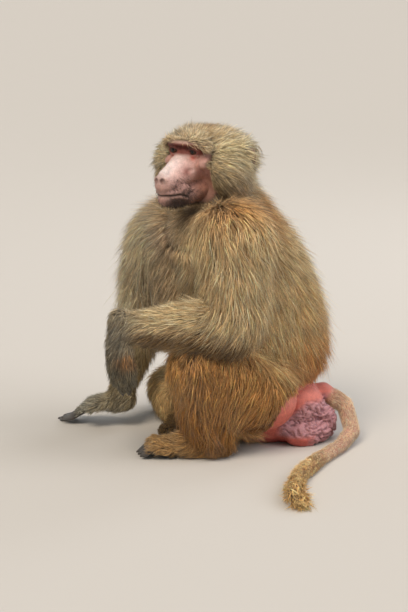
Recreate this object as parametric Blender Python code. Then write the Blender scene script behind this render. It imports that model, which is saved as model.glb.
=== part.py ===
# A life-size baboon that sits on its rump with one knee drawn up, one hand on the ground, the other hanging
# over the knee, and its tail laid along the floor. Metres, +Z up. It faces -Y, its left side is +X, and the
# origin is on the floor under its seat.

import math
import random

import bmesh
import bpy
from mathutils import Matrix, Vector
from mathutils.bvhtree import BVHTree

# Meshes that meet keep this gap. What stands on the floor is modelled this far into it and then cut flat.
GAP = 0.0003
PRESS = 0.0015
WELD = 0.00001

# The solid under the locks takes this share of the coat's depth. The locks do the rest.
CORE_SHARE = 0.45

# Voxels of each part of the flesh, and the triangles that it is thinned to.
BODY_VOXEL, BODY_TRIANGLES = 0.0045, 1300
FACE_VOXEL, FACE_TRIANGLES = 0.0013, 1800
HAND_VOXEL, HAND_TRIANGLES = 0.0016, 330
FOOT_VOXEL, FOOT_TRIANGLES = 0.0018, 250
RUMP_VOXEL, RUMP_TRIANGLES = 0.0022, 230
EAR_VOXEL, EAR_TRIANGLES = 0.0011, 110

# The trunk from the seat to the nape: height, centre along Y, half depth, half width, twist to the left in
# degrees, and depth of the coat.
TRUNK = [
    (0.012, -0.030, 0.044, 0.040, 0, 0.000),
    (0.030, -0.036, 0.066, 0.056, 0, 0.002),
    (0.065, -0.044, 0.084, 0.068, 4, 0.008),
    (0.110, -0.058, 0.112, 0.080, 8, 0.020),
    (0.168, -0.062, 0.119, 0.085, 13, 0.026),
    (0.225, -0.063, 0.110, 0.083, 18, 0.030),
    (0.285, -0.073, 0.100, 0.078, 23, 0.033),
    (0.335, -0.087, 0.087, 0.070, 27, 0.034),
    (0.375, -0.101, 0.068, 0.058, 30, 0.034),
    (0.415, -0.117, 0.053, 0.049, 34, 0.032),
    (0.455, -0.136, 0.042, 0.043, 38, 0.024),
]

# Joints of the limbs.
SHOULDER_L = Vector((0.088, -0.106, 0.362))
ELBOW_L = Vector((0.140, -0.114, 0.232))
WRIST_L = Vector((0.112, -0.298, 0.230))
SHOULDER_R = Vector((-0.084, -0.196, 0.340))
ELBOW_R = Vector((-0.142, -0.223, 0.196))
WRIST_R = Vector((-0.120, -0.272, 0.048))
HIP_L = Vector((0.064, -0.050, 0.090))
KNEE_L = Vector((0.118, -0.180, 0.158))
ANKLE_L = Vector((0.090, -0.140, 0.038))
HIP_R = Vector((-0.066, -0.044, 0.072))
KNEE_R = Vector((-0.198, -0.168, 0.044))
ANKLE_R = Vector((-0.092, -0.166, 0.036))

# Limbs: their two joints, radii of the flesh and depths of the coat at the start, the middle and the end.
LIMBS = {
    "upper_arm_left": (SHOULDER_L, ELBOW_L, (0.046, 0.038, 0.031), (0.030, 0.028, 0.026)),
    "forearm_left": (ELBOW_L, WRIST_L, (0.030, 0.027, 0.017), (0.024, 0.016, 0.006)),
    "upper_arm_right": (SHOULDER_R, ELBOW_R, (0.046, 0.038, 0.031), (0.030, 0.028, 0.024)),
    "forearm_right": (ELBOW_R, WRIST_R, (0.028, 0.024, 0.016), (0.018, 0.012, 0.005)),
    "thigh_left": (HIP_L, KNEE_L, (0.056, 0.054, 0.038), (0.016, 0.020, 0.012)),
    "shin_left": (KNEE_L, ANKLE_L, (0.036, 0.036, 0.024), (0.014, 0.026, 0.018)),
    "thigh_right": (HIP_R, KNEE_R, (0.056, 0.046, 0.034), (0.014, 0.016, 0.014)),
    "shin_right": (KNEE_R, ANKLE_R, (0.033, 0.030, 0.024), (0.014, 0.016, 0.010)),
}

# Locks of the coat: length, least distance between roots and greatest width.
LOCKS = {
    "head": (0.056, 0.033, 0.030),
    "trunk": (0.102, 0.051, 0.049),
    "upper_arm": (0.086, 0.043, 0.040),
    "forearm": (0.064, 0.038, 0.033),
    "thigh": (0.080, 0.049, 0.044),
    "shin": (0.074, 0.044, 0.039),
    "tail": (0.068, 0.020, 0.022),
}

# The coat of each node that has one, and how far its hair follows the limb. The rest of it hangs.
COATS = {
    "head": ("head", 0.0),
    "neck": ("trunk", 0.0),
    "chest": ("trunk", 0.0),
    "belly": ("trunk", 0.0),
    "upper_arm_left": ("upper_arm", 0.5),
    "upper_arm_right": ("upper_arm", 0.5),
    "forearm_left": ("forearm", 0.75),
    "forearm_right": ("forearm", 0.8),
    "thigh_left": ("thigh", 0.3),
    "thigh_right": ("thigh", 0.6),
    "shin_left": ("shin", 0.5),
    "shin_right": ("shin", 0.6),
    "tail_tuft": ("tail", 1.0),
}

# A lock's root is sunk this far. Its rings lie at these shares of its length, each with its share of the
# width. Its height above the core grows with its length to the power of the lift. A root needs this much room
# above it, and the lie is swung by up to this many degrees.
LOCK_SINK = 0.0070
LOCK_THICKNESS = 0.0060
LOCK_RINGS = ((0.0, 0.45), (0.30, 1.00), (0.70, 0.74))
LOCK_LIFT = 0.50
LOCK_ROOM = 0.045
LOCK_SWING = 14
LOCK_STEPS = 10
LOCK_TRIES = 9000
LOCK_SEED = 12

# Hair of the trunk falls outward from this line, which only tells where it lies flat on top of the shoulders.
TRUNK_MIDDLE = -0.110
OUTWARD = 0.55
HEAD_COAT_DEPTH = 0.030
TUFT_DEPTH = 0.026

# On the head hair falls to the sides, back and down by these shares. The crown lifts it, over these half
# sizes.
HEAD_SIDEWAYS, HEAD_BACK, HEAD_DOWN, CROWN_LIFT = 0.70, 0.70, 0.45, 0.33
HEAD_HALF_WIDTH, HEAD_HALF_HEIGHT = 0.05, 0.04

# The face ahead of this line has no locks, below the height at which the hair of the brow starts. Nor has the
# throat, given as its rear end, top and half width, or the space round each ear.
FACE_LINE, BROW_LINE, BROW_FRONT = 0.034, 0.028, 0.046
THROAT = (0.010, -0.060, 0.030)
EAR_CLEARANCE, EAR_SIDE = 0.020, 0.050

# Hair ends this high above the floor. A lock that stays shorter than this share of its length is left out.
LOWEST_TIP = 0.0045
SHORTEST_LOCK = 0.3

# The ray that tells whether a point is inside a wall, and how far past a crossing it starts again.
PROBE = Vector((0.36, 0.21, 0.91)).normalized()
PROBE_STEP = 1e-6

# The yoke of the shoulders across the front of the chest, and its radius.
YOKE = [(SHOULDER_R, 0.046), (Vector((-0.020, -0.142, 0.350)), 0.060), (SHOULDER_L, 0.048)]
CHEST = [(Vector((-0.060, -0.176, 0.330)), 0.050), (Vector((-0.030, -0.140, 0.260)), 0.062)]

# The hands: direction of the palm, the way the back of the hand faces, how far each joint curls, how far the
# fingers are spread, how far the thumb stands out, and how long the fingers are drawn.
HAND_L = (Vector((0.02, 0.00, -1.0)), Vector((0.72, -0.68, 0.05)), (-5, -8, -10), 0.4, 0.20, 1.0)
HAND_R = (Vector((-0.490, -0.800, -0.250)), Vector((0.0, 0.0, 1.0)), (-15, -4, 20), 1.0, 0.62, 1.1)
PALM_LENGTH, PALM_WIDTH, PALM_DEPTH = 0.058, 0.040, 0.020
FINGER_LENGTHS = (0.050, 0.060, 0.057, 0.045)
FINGER_RADIUS = 0.0064

# The head: centre of the braincase, and how far it is turned to the left and tipped down, in degrees. Points
# on it are given as forward, left and up of that centre.
HEAD = Vector((0.005, -0.144, 0.488))
HEAD_TURN = 40
HEAD_TIP = 0
EYE = (0.0500, 0.0203, 0.0150)
EYE_RADIUS = 0.0088
EAR = (-0.016, 0.072, 0.006)

# The tail from its root to its tip: points along it and the radius at each.
TAIL = [
    (Vector((0.000, 0.030, 0.074)), 0.0180),
    (Vector((0.002, 0.066, 0.080)), 0.0150),
    (Vector((0.014, 0.102, 0.056)), 0.0125),
    (Vector((0.050, 0.106, 0.020)), 0.0120),
    (Vector((0.105, 0.072, 0.0105)), 0.0120),
    (Vector((0.175, 0.018, 0.0105)), 0.0115),
    (Vector((0.250, -0.030, 0.0105)), 0.0120),
    (Vector((0.315, -0.054, 0.0125)), 0.0150),
    (Vector((0.365, -0.062, 0.0120)), 0.0130),
    (Vector((0.405, -0.062, 0.0090)), 0.0050),
]

# Colours of the coat and of bare skin, as linear red, green and blue.
STRAW = (0.42, 0.30, 0.15)
RUSSET = (0.33, 0.18, 0.07)
GREY_FUR = (0.12, 0.10, 0.075)
PINK = (0.55, 0.26, 0.22)
RED_SKIN = (0.52, 0.13, 0.12)
BLACK = (0.012, 0.009, 0.008)


# The head's axes: forward, left and up.
def head_axes():
    turn = math.radians(HEAD_TURN)
    tip = math.radians(HEAD_TIP)
    level = Vector((math.sin(turn), -math.cos(turn), 0))
    left = Vector((math.cos(turn), math.sin(turn), 0))
    forward = level * math.cos(tip) - Vector((0, 0, math.sin(tip)))
    return forward, left, left.cross(forward) * -1


def head_point(forward, left, up):
    axes = head_axes()
    return HEAD + axes[0] * forward + axes[1] * left + axes[2] * up


def to_object(name, bm):
    mesh = bpy.data.meshes.new(name)
    bmesh.ops.recalc_face_normals(bm, faces=bm.faces)
    if bm.calc_volume(signed=True) < 0:
        bmesh.ops.reverse_faces(bm, faces=bm.faces)
    bm.to_mesh(mesh)
    bm.free()
    obj = bpy.data.objects.new(name, mesh)
    bpy.context.scene.collection.objects.link(obj)
    return obj


# An ellipsoid with its radii along the given axes, the world's by default.
def ball(centre, radii, axes=None, sides=20, rings=12):
    bm = bmesh.new()
    bmesh.ops.create_uvsphere(bm, u_segments=sides, v_segments=rings, radius=1)
    turn = Matrix(axes).transposed() if axes else Matrix.Identity(3)
    for vertex in bm.verts:
        scaled = Vector(vertex.co[i] * radii[i] for i in range(3))
        vertex.co = Vector(centre) + turn @ scaled
    return to_object("ball", bm)


def head_ball(place, radii, sides=20, rings=12):
    return ball(head_point(*place), radii, head_axes(), sides, rings)


# A closed body through rings of points that are alike in number.
def loft(rings):
    bm = bmesh.new()
    loops = [[bm.verts.new(point) for point in ring] for ring in rings]
    count = len(rings[0])
    for low, high in zip(loops, loops[1:]):
        for i in range(count):
            j = (i + 1) % count
            bm.faces.new((low[i], low[j], high[j], high[i]))
    bm.faces.new(loops[0][::-1])
    bm.faces.new(loops[-1])
    return to_object("loft", bm)


# A round tube along a path. Growing it moves its wall and its two ends out by the same amount.
def tube(points, radii, sides=14, grow=0.0, flat=None):
    points = [Vector(point) for point in points]
    tangents = []
    for i in range(len(points)):
        before = points[max(i - 1, 0)]
        after = points[min(i + 1, len(points) - 1)]
        tangents.append((after - before).normalized())
    side = tangents[0].orthogonal().normalized() if flat is None else Vector(flat[0]).normalized()
    squash = 1.0 if flat is None else flat[1]
    rings = []
    for i, (point, tangent, radius) in enumerate(zip(points, tangents, radii)):
        end = -1 if i == 0 else 1 if i == len(points) - 1 else 0
        centre = point + tangent * grow * end
        side = (side - tangent * side.dot(tangent)).normalized()
        other = tangent.cross(side)
        wall = radius + grow / math.cos(math.pi / sides)
        ring = []
        for k in range(sides):
            angle = 2 * math.pi * k / sides
            ring.append(centre + (side * squash * math.cos(angle) + other * math.sin(angle)) * wall)
        rings.append(ring)
    return loft(rings)


def head_tube(stations, radii, sides=12, squash=None):
    flat = (head_axes()[2], squash) if squash else None
    return tube([head_point(*station) for station in stations], radii, sides, flat=flat)


def box(low, high, axes=None, centre=(0, 0, 0), grow=0.0):
    bm = bmesh.new()
    bmesh.ops.create_cube(bm, size=1)
    turn = Matrix(axes).transposed() if axes else Matrix.Identity(3)
    for vertex in bm.verts:
        place = Vector(
            (low[i] - grow if vertex.co[i] < 0 else high[i] + grow) for i in range(3)
        )
        vertex.co = Vector(centre) + turn @ place
    return to_object("box", bm)


# The object's mesh with its modifiers applied.
def settled(obj):
    graph = bpy.context.evaluated_depsgraph_get()
    mesh = bpy.data.meshes.new_from_object(obj.evaluated_get(graph))
    obj.modifiers.clear()
    obj.data = mesh
    return obj


def joined(pieces):
    bm = bmesh.new()
    for piece in pieces:
        bm.from_mesh(piece.data)
        bpy.data.objects.remove(piece)
    return to_object("joined", bm)


# Joins pieces to a body or cuts them from it, in one Boolean on a collection.
def combined(body, pieces, operation):
    group = bpy.data.collections.new("pieces")
    bpy.context.scene.collection.children.link(group)
    for piece in pieces:
        bpy.context.scene.collection.objects.unlink(piece)
        group.objects.link(piece)
    boolean = body.modifiers.new("Combine", "BOOLEAN")
    boolean.operation = operation
    boolean.solver = "MANIFOLD"
    boolean.operand_type = "COLLECTION"
    boolean.collection = group
    settled(body)
    for piece in pieces:
        bpy.data.objects.remove(piece)
    bpy.data.collections.remove(group)
    return body


def is_closed(obj):
    bm = bmesh.new()
    bm.from_mesh(obj.data)
    whole = all(edge.is_manifold for edge in bm.edges) and all(vertex.is_manifold for vertex in bm.verts)
    bm.free()
    return whole


def remeshed(obj, voxel):
    remesh = obj.modifiers.new("Remesh", "REMESH")
    remesh.mode = "VOXEL"
    remesh.voxel_size = voxel
    return settled(obj)


# Overlapping pieces made one smooth skin, with hollows carved out of it. A voxel or a count of triangles that
# leaves two sheets touching is tried again a little coarser.
def fused(pieces, voxel, triangles, smoothing=6, hollows=()):
    body = remeshed(joined(pieces), voxel)
    if hollows:
        combined(body, list(hollows), "DIFFERENCE")
    carved = body.data.copy()
    for attempt in range(12):
        body.data = carved.copy()
        if hollows:
            remeshed(body, voxel * (1 + 0.03 * attempt))
        smooth = body.modifiers.new("Smooth", "SMOOTH")
        smooth.factor = 0.5
        smooth.iterations = smoothing
        settled(body)
        body.data.calc_loop_triangles()
        thin = body.modifiers.new("Thin", "DECIMATE")
        thin.ratio = min(1.0, (triangles + 5 * attempt) / len(body.data.loop_triangles))
        settled(body)
        if is_closed(body):
            break
    return body


# Keeps only the largest closed surface of a mesh.
def largest(obj):
    bm = bmesh.new()
    bm.from_mesh(obj.data)
    bmesh.ops.triangulate(bm, faces=bm.faces)
    waiting = set(bm.faces)
    shells = []
    while waiting:
        stack = [waiting.pop()]
        shell = []
        while stack:
            face = stack.pop()
            shell.append(face)
            for edge in face.edges:
                for other in edge.link_faces:
                    if other in waiting:
                        waiting.remove(other)
                        stack.append(other)
        shells.append(shell)
    shells.sort(key=lambda shell: sum(face.calc_area() for face in shell), reverse=True)
    dropped = {vertex for shell in shells[1:] for face in shell for vertex in face.verts}
    bmesh.ops.delete(bm, geom=list(dropped), context="VERTS")
    bm.to_mesh(obj.data)
    bm.free()
    return obj


# Merges corners that a cut left closer together than this, unless that opens the surface.
def welded(obj):
    whole = obj.data.copy()
    bm = bmesh.new()
    bm.from_mesh(obj.data)
    bmesh.ops.remove_doubles(bm, verts=bm.verts, dist=WELD)
    bmesh.ops.dissolve_degenerate(bm, edges=bm.edges, dist=WELD)
    bmesh.ops.triangulate(bm, faces=bm.faces)
    bm.to_mesh(obj.data)
    bm.free()
    if not is_closed(obj):
        obj.data = whole
    return obj


def blend(values, share):
    at = share * (len(values) - 1)
    i = min(int(at), len(values) - 2)
    return values[i] + (values[i + 1] - values[i]) * (at - i)


def trunk_pieces(share):
    rings = []
    for height, middle, depth, width, twist, coat in TRUNK:
        turn = math.radians(twist)
        forward = Vector((math.sin(turn), -math.cos(turn), 0))
        left = Vector((math.cos(turn), math.sin(turn), 0))
        centre = Vector((0, middle, height))
        ring = []
        for k in range(24):
            angle = 2 * math.pi * k / 24
            across = left * math.cos(angle) * (width + coat * share)
            along = forward * math.sin(angle) * (depth + coat * share)
            ring.append(centre + across + along)
        rings.append(ring)
    pieces = [loft(rings)]
    for path in (YOKE, CHEST):
        pieces.append(tube([point for point, _ in path], [radius + 0.02 * share for _, radius in path]))
        for point, radius in path:
            pieces.append(ball(point, (radius + 0.02 * share,) * 3))
    return pieces


def limb_pieces(share):
    pieces = []
    for start, end, radii, coats in LIMBS.values():
        steps = 6
        points = []
        walls = []
        for i in range(steps + 1):
            t = i / steps
            points.append(start.lerp(end, t))
            walls.append(blend(radii, t) + blend(coats, t) * share)
        pieces.append(tube(points, walls, 16))
        for point, wall in ((start, walls[0]), (end, walls[-1])):
            pieces.append(ball(point, (wall, wall, wall), sides=16, rings=10))
    return pieces


# A hand from the wrist: palm, four fingers of three lengths each, and a thumb.
def hand(wrist, pose, thumb_side):
    ahead, back, curls, splay, thumb_out, drawn = pose
    ahead = ahead.normalized()
    back = (back - ahead * back.dot(ahead)).normalized()
    thumb = ahead.cross(back) * thumb_side
    palm_end = wrist + ahead * PALM_LENGTH
    pieces = [
        ball(
            wrist + ahead * PALM_LENGTH * 0.55,
            (PALM_WIDTH * 0.56, PALM_LENGTH * 0.62, PALM_DEPTH * 0.5),
            (thumb, ahead, back),
        ),
        tube(
            [wrist - ahead * 0.012, wrist + ahead * 0.012],
            [0.017, 0.015],
            flat=(back, 0.8),
        ),
    ]
    for i, length in enumerate(FINGER_LENGTHS):
        across = PALM_WIDTH * (0.36 - 0.24 * i)
        spread = math.radians((9 - 6 * i) * splay)
        way = (ahead * math.cos(spread) + thumb * math.sin(spread)).normalized()
        point = palm_end + thumb * across - ahead * (0.006 + 0.002 * (i - 1.5) ** 2)
        path = [point]
        for share, curl in zip((0.45, 0.32, 0.23), curls):
            bend = Matrix.Rotation(math.radians(curl), 3, way.cross(back))
            way = bend @ way
            point = point + way * length * share * drawn
            path.append(point)
        radii = [FINGER_RADIUS * size for size in (1.15, 1.1, 1.0, 0.8)]
        pieces.append(tube(path, radii, 10))
        for joint, radius in zip(path, radii):
            pieces.append(ball(joint, (radius * 1.04,) * 3, sides=10, rings=6))
    root = wrist + ahead * 0.016 + thumb * PALM_WIDTH * 0.34
    way = (ahead * 0.80 + thumb * thumb_out - back * 0.12).normalized()
    path = [root, root + way * 0.018, root + way * 0.032]
    radii = [0.0078, 0.0066, 0.0052]
    pieces.append(tube(path, radii, 10))
    pieces.append(ball(path[-1], (0.0054,) * 3, sides=10, rings=6))
    return fused(pieces, HAND_VOXEL, HAND_TRIANGLES, 3)


# A foot from the ankle: heel, sole, four curled toes and a big toe set apart.
def foot(ankle, heel, ahead, big_toe_side):
    ahead = ahead.normalized()
    side = ahead.cross(Vector((0, 0, 1))) * big_toe_side
    up = Vector((0, 0, 1))
    axes = (side, ahead, up)
    ball_of_foot = heel + ahead * 0.094
    pieces = [
        tube(
            [ankle + up * 0.012, ankle - up * 0.012, heel + ahead * 0.014 + up * 0.016],
            [0.023, 0.021, 0.016],
        ),
        ball(heel + ahead * 0.010 + up * 0.014, (0.017, 0.022, 0.0155), axes),
        ball(heel + ahead * 0.052 + up * 0.0165, (0.021, 0.054, 0.0180), axes),
        ball(ball_of_foot + up * 0.0140, (0.024, 0.022, 0.0155), axes),
    ]
    for i in range(4):
        across = 0.015 - 0.0105 * i
        length = 0.038 + 0.006 * (1 - abs(i - 1.2) * 0.6)
        root = ball_of_foot + side * across + up * 0.012
        path = [root, root + ahead * length * 0.55 + up * 0.010, root + ahead * length - up * 0.0035]
        radii = [0.0086, 0.0080, 0.0068]
        pieces.append(tube(path, radii, 10))
        for joint, radius in zip(path, radii):
            pieces.append(ball(joint, (radius * 1.04,) * 3, sides=10, rings=6))
    root = heel + ahead * 0.045 + side * 0.016 + up * 0.010
    way = (ahead * 0.75 + side * 0.66).normalized()
    path = [root, root + way * 0.022, root + way * 0.040 - up * 0.002]
    pieces.append(tube(path, [0.0090, 0.0080, 0.0066], 10))
    pieces.append(ball(path[-1], (0.0068,) * 3, sides=10, rings=6))
    return fused(pieces, FOOT_VOXEL, FOOT_TRIANGLES, 3)


# What the coat adds to the head at the crown, the nape and the cheeks. It grows sideways, up and back, so
# the bare face stays clear of it.
HEAD_COAT = [
    ((-0.012, 0, 0.001), (0.062, 0.063, 0.046), (0.016, 0.022, 0.013)),
    ((-0.014, 0, -0.040), (0.046, 0.052, 0.050), (0.018, 0.028, 0.010)),
    ((0.004, 0.050, -0.012), (0.030, 0.024, 0.036), (0.012, 0.030, 0.026)),
    ((0.004, -0.050, -0.012), (0.030, 0.024, 0.036), (0.012, 0.030, 0.026)),
]


def crown_pieces(share):
    pieces = [head_tube([(-0.010, 0, -0.020), (-0.024, 0, -0.090)], [0.043, 0.040], 18)]
    for (forward, left, up), radii, growth in HEAD_COAT:
        place = (forward - growth[0] * share * 0.8, left, up)
        pieces.append(head_ball(place, [radius + more * share for radius, more in zip(radii, growth)]))
    return pieces


def face():
    pieces = [
        head_ball((-0.004, 0, 0.001), (0.062, 0.049, 0.040)),
        head_tube([(0.043, -0.037, 0.018), (0.052, -0.021, 0.0235), (0.0535, 0, 0.0225),
                   (0.052, 0.021, 0.0235), (0.043, 0.037, 0.018)], [0.006, 0.0075, 0.0070, 0.0075, 0.006]),
        head_tube([(0.020, 0, -0.004), (0.0513, 0, -0.008), (0.0746, 0, -0.0225), (0.0945, 0, -0.0320),
                   (0.1015, 0, -0.0345)], [0.0385, 0.0300, 0.0240, 0.0205, 0.0160], 20, 0.90),
        head_tube([(0.048, 0, 0.010), (0.0787, 0, -0.0045), (0.1015, 0, -0.0180)], [0.0085, 0.0090, 0.0085]),
        head_ball((0.1045, 0, -0.0240), (0.0080, 0.0120, 0.0082)),
        head_tube([(0.0925, 0, -0.0590), (0.0740, 0, -0.0590), (0.048, 0, -0.0540), (0.015, 0, -0.0450)],
                  [0.0145, 0.0190, 0.0265, 0.0320], 18, 0.72),
        head_ball((0.0900, 0, -0.0610), (0.0115, 0.0140, 0.0120)),
    ]
    for side in (-1, 1):
        pieces += [
            head_ball((0.034, side * 0.0355, -0.003), (0.019, 0.0095, 0.0110)),
            head_ball((EYE[0], side * EYE[1], EYE[2]), (0.0112, 0.0118, 0.0112)),
            head_tube([(0.0680, side * 0.0240, -0.0455), (0.0845, side * 0.0212, -0.0470),
                       (0.0980, side * 0.0128, -0.0475), (0.1032, 0, -0.0475)],
                      [0.0030, 0.0042, 0.0046, 0.0046]),
            head_tube([(0.0680, side * 0.0235, -0.0500), (0.0830, side * 0.0198, -0.0540),
                       (0.0955, side * 0.0118, -0.0550), (0.1000, 0, -0.0550)],
                      [0.0030, 0.0040, 0.0044, 0.0044]),
        ]
    hollows = []
    for side in (-1, 1):
        hollows += [
            head_ball((0.1105, side * 0.0062, -0.0265), (0.0060, 0.0035, 0.0036), 12, 8),
            head_ball((0.064, side * 0.0330, -0.0165), (0.0145, 0.0085, 0.0085)),
            head_ball((EYE[0] + 0.0100, side * EYE[1], EYE[2]), (0.0065, 0.0098, 0.0044), 16, 10),
            head_tube([(0.0655, side * 0.0295, -0.0475), (0.0845, side * 0.0258, -0.0503),
                       (0.0990, side * 0.0162, -0.0511), (0.1080, 0, -0.0511)],
                      [0.0016, 0.0018, 0.0018, 0.0018], 8),
        ]
    return fused(pieces, FACE_VOXEL, FACE_TRIANGLES, 3, hollows)


# An ear is a thick bowl, open forward and outward.
def ear(side):
    centre = Vector((EAR[0], side * EAR[1], EAR[2]))
    axes = head_axes()
    out = axes[1] * side * math.cos(math.radians(35)) - axes[0] * math.sin(math.radians(35))
    normal = (axes[0] * 0.75 + axes[1] * side * 0.66).normalized()
    tall = axes[2]
    wide = tall.cross(normal)
    middle = head_point(*centre) + out * 0.010
    bowl = ball(middle, (0.0125, 0.0170, 0.0075), (wide, tall, normal))
    scoop = ball(middle + normal * 0.0065, (0.0095, 0.0138, 0.0085), (wide, tall, normal))
    root_middle = head_point(*centre) - axes[1] * side * 0.010
    root = ball(root_middle, (0.010, 0.014, 0.020), (axes[0], axes[2], axes[1]))
    return fused([bowl, root], EAR_VOXEL, EAR_TRIANGLES, 2, [scoop])


# An eyeball, or the socket that holds it with a gap all round.
def eye(side, grow=0.0):
    return head_ball((EYE[0], side * EYE[1], EYE[2]), (EYE_RADIUS + grow,) * 3, 10, 7)


def rump():
    pieces = [
        ball((0, -0.002, 0.036), (0.064, 0.056, 0.042)),
        ball((0, 0.034, 0.066), (0.034, 0.034, 0.032)),
        ball((0, 0.056, 0.028), (0.020, 0.022, 0.030)),
    ]
    for side in (-1, 1):
        pieces += [
            ball((side * 0.034, 0.018, 0.066), (0.034, 0.042, 0.036)),
            ball((side * 0.030, 0.040, 0.022), (0.030, 0.034, 0.026)),
            ball((side * 0.022, 0.064, 0.036), (0.020, 0.020, 0.024)),
            ball((side * 0.034, 0.056, 0.050), (0.018, 0.018, 0.016)),
            ball((side * 0.052, 0.020, 0.020), (0.022, 0.034, 0.024)),
            ball((side * 0.012, 0.074, 0.020), (0.014, 0.012, 0.018)),
        ]
    return fused(pieces, RUMP_VOXEL, RUMP_TRIANGLES, 3)


def tail():
    return tube([point for point, _ in TAIL], [radius for _, radius in TAIL], 12)


def material(name, colour, roughness):
    made = bpy.data.materials.new(name)
    made.use_nodes = True
    made.diffuse_color = (*colour, 1)
    shader = made.node_tree.nodes["Principled BSDF"]
    shader.inputs["Base Color"].default_value = (*colour, 1)
    shader.inputs["Roughness"].default_value = roughness
    shader.inputs["Metallic"].default_value = 0
    return made


# Territories: the space that each node takes of the whole body, in the order in which they are cut.
NECK_CUT = head_point(0.040, 0, -0.082)
NECK_UP = (head_axes()[2] + head_axes()[0] * 0.30).normalized()
NECK_BASE = Vector((-0.005, -0.118, 0.378))
NECK_TOP = Vector((0.010, -0.150, 0.470))
WRIST_L_WAY = (HAND_L[0].normalized() + (WRIST_L - ELBOW_L).normalized()).normalized()
WRIST_R_WAY = (HAND_R[0].normalized() + (WRIST_R - ELBOW_R).normalized()).normalized()


def ear_space(side, grow):
    start = head_point(EAR[0] - 0.002, side * (EAR[1] - 0.001), EAR[2])
    way = head_axes()[1] * side
    return tube([start, start + way * 0.05], [0.021, 0.032], 10, grow)


def tail_space(first, last, reach, grow):
    points = [point for point, _ in TAIL[first : last + 1]]
    return tube(points, [reach] * len(points), 8, grow)


TERRITORIES = [
    ("ear_left", PINK, lambda g: ear_space(1, g)),
    ("ear_right", PINK, lambda g: ear_space(-1, g)),
    ("head", STRAW, lambda g: tube([NECK_CUT, NECK_CUT + NECK_UP * 0.25], [0.20, 0.20], 8, g)),
    ("neck", STRAW, lambda g: tube([NECK_BASE, NECK_TOP], [0.088, 0.110], 8, g)),
    ("hand_left", GREY_FUR, lambda g: tube([WRIST_L, WRIST_L + WRIST_L_WAY * 0.16], [0.09, 0.09], 8, g)),
    ("hand_right", GREY_FUR, lambda g: tube([WRIST_R, WRIST_R + WRIST_R_WAY * 0.16], [0.06, 0.10], 8, g)),
    ("forearm_left", STRAW, lambda g: tube(
        [(0.161, -0.127, 0.258), (0.146, -0.180, 0.263), (0.125, -0.240, 0.248), (0.112, -0.304, 0.232)],
        [0.064, 0.062, 0.056, 0.050], 8, g)),
    ("forearm_right", STRAW, lambda g: tube(
        [ELBOW_R + Vector((0, 0, -0.010)), WRIST_R + Vector((0, 0, -0.01))], [0.060, 0.060], 8, g)),
    ("upper_arm_left", STRAW, lambda g: tube(
        [(0.104, -0.104, 0.440), (0.112, -0.108, 0.352), (0.132, -0.110, 0.290), (0.152, -0.112, 0.230),
         (0.157, -0.113, 0.191)], [0.036, 0.060, 0.057, 0.056, 0.050], 8, g)),
    ("upper_arm_right", STRAW, lambda g: tube(
        [(-0.092, -0.204, 0.430), (-0.100, -0.208, 0.352), (-0.124, -0.214, 0.280), (-0.150, -0.220, 0.150)],
        [0.040, 0.058, 0.062, 0.066], 8, g)),
    ("foot_left", GREY_FUR, lambda g: box((0.035, -0.30, -0.02), (0.150, -0.108, 0.034), grow=g)),
    ("foot_right", GREY_FUR, lambda g: box((-0.135, -0.30, -0.02), (0.030, -0.130, 0.034), grow=g)),
    ("shin_left", RUSSET, lambda g: tube(
        [(0.118, -0.192, 0.146), (0.106, -0.176, 0.090), (0.098, -0.166, 0.020)],
        [0.070, 0.066, 0.066], 8, g)),
    ("shin_right", RUSSET, lambda g: tube(
        [(-0.160, -0.180, 0.060), (-0.060, -0.180, 0.040)], [0.066, 0.060], 8, g)),
    ("thigh_left", RUSSET, lambda g: tube(
        [(0.118, -0.034, 0.070), (0.126, -0.120, 0.110), (0.124, -0.250, 0.175)],
        [0.078, 0.070, 0.062], 8, g)),
    ("thigh_right", RUSSET, lambda g: tube(
        [(-0.108, -0.056, 0.064), (-0.150, -0.116, 0.058), (-0.235, -0.250, 0.055)],
        [0.080, 0.078, 0.080], 8, g)),
    ("tail_tuft", STRAW, lambda g: tail_space(6, 9, 0.050, g)),
    ("tail_end", STRAW, lambda g: tail_space(4, 6, 0.040, g)),
    ("tail_middle", PINK, lambda g: tail_space(3, 4, 0.040, g)),
    ("tail_root", PINK, lambda g: tube(
        [(0.001, 0.066, 0.081), (0.014, 0.102, 0.056), (0.050, 0.106, 0.020)], [0.022, 0.028, 0.034], 8, g)),
    ("rump", RED_SKIN, lambda g: ball((0, 0.034, 0.030), (0.084 + g, 0.072 + g, 0.076 + g), None, 10, 6)),
    ("chest", STRAW, lambda g: tube([(0.012, -0.070, 0.208), (0, -0.100, 0.48)], [0.24, 0.24], 8, g)),
    ("belly", RUSSET, lambda g: box((-0.3, -0.4, -0.05), (0.3, 0.3, 0.4), grow=g)),
]


# The territories as trees of their walls, to tell which node a point belongs to.
def territory_trees():
    trees = []
    for name, _, space in TERRITORIES:
        walls = space(0.0)
        bm = bmesh.new()
        bm.from_mesh(walls.data)
        trees.append((name, BVHTree.FromBMesh(bm)))
        bm.free()
        bpy.data.objects.remove(walls)
    return trees


# A point is inside a closed wall when a ray from it crosses the wall an odd number of times.
def is_inside(point, tree):
    crossings = 0
    place = tree.ray_cast(point, PROBE)[0]
    while place:
        crossings += 1
        place = tree.ray_cast(place + PROBE * PROBE_STEP, PROBE)[0]
    return crossings % 2 == 1


def node_at(point, trees):
    for name, tree in trees:
        if is_inside(point, tree):
            return name
    return None


def along_bone(point, start, end):
    bone = end - start
    return min(1.0, max(0.0, (point - start).dot(bone) / bone.length_squared))


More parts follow.
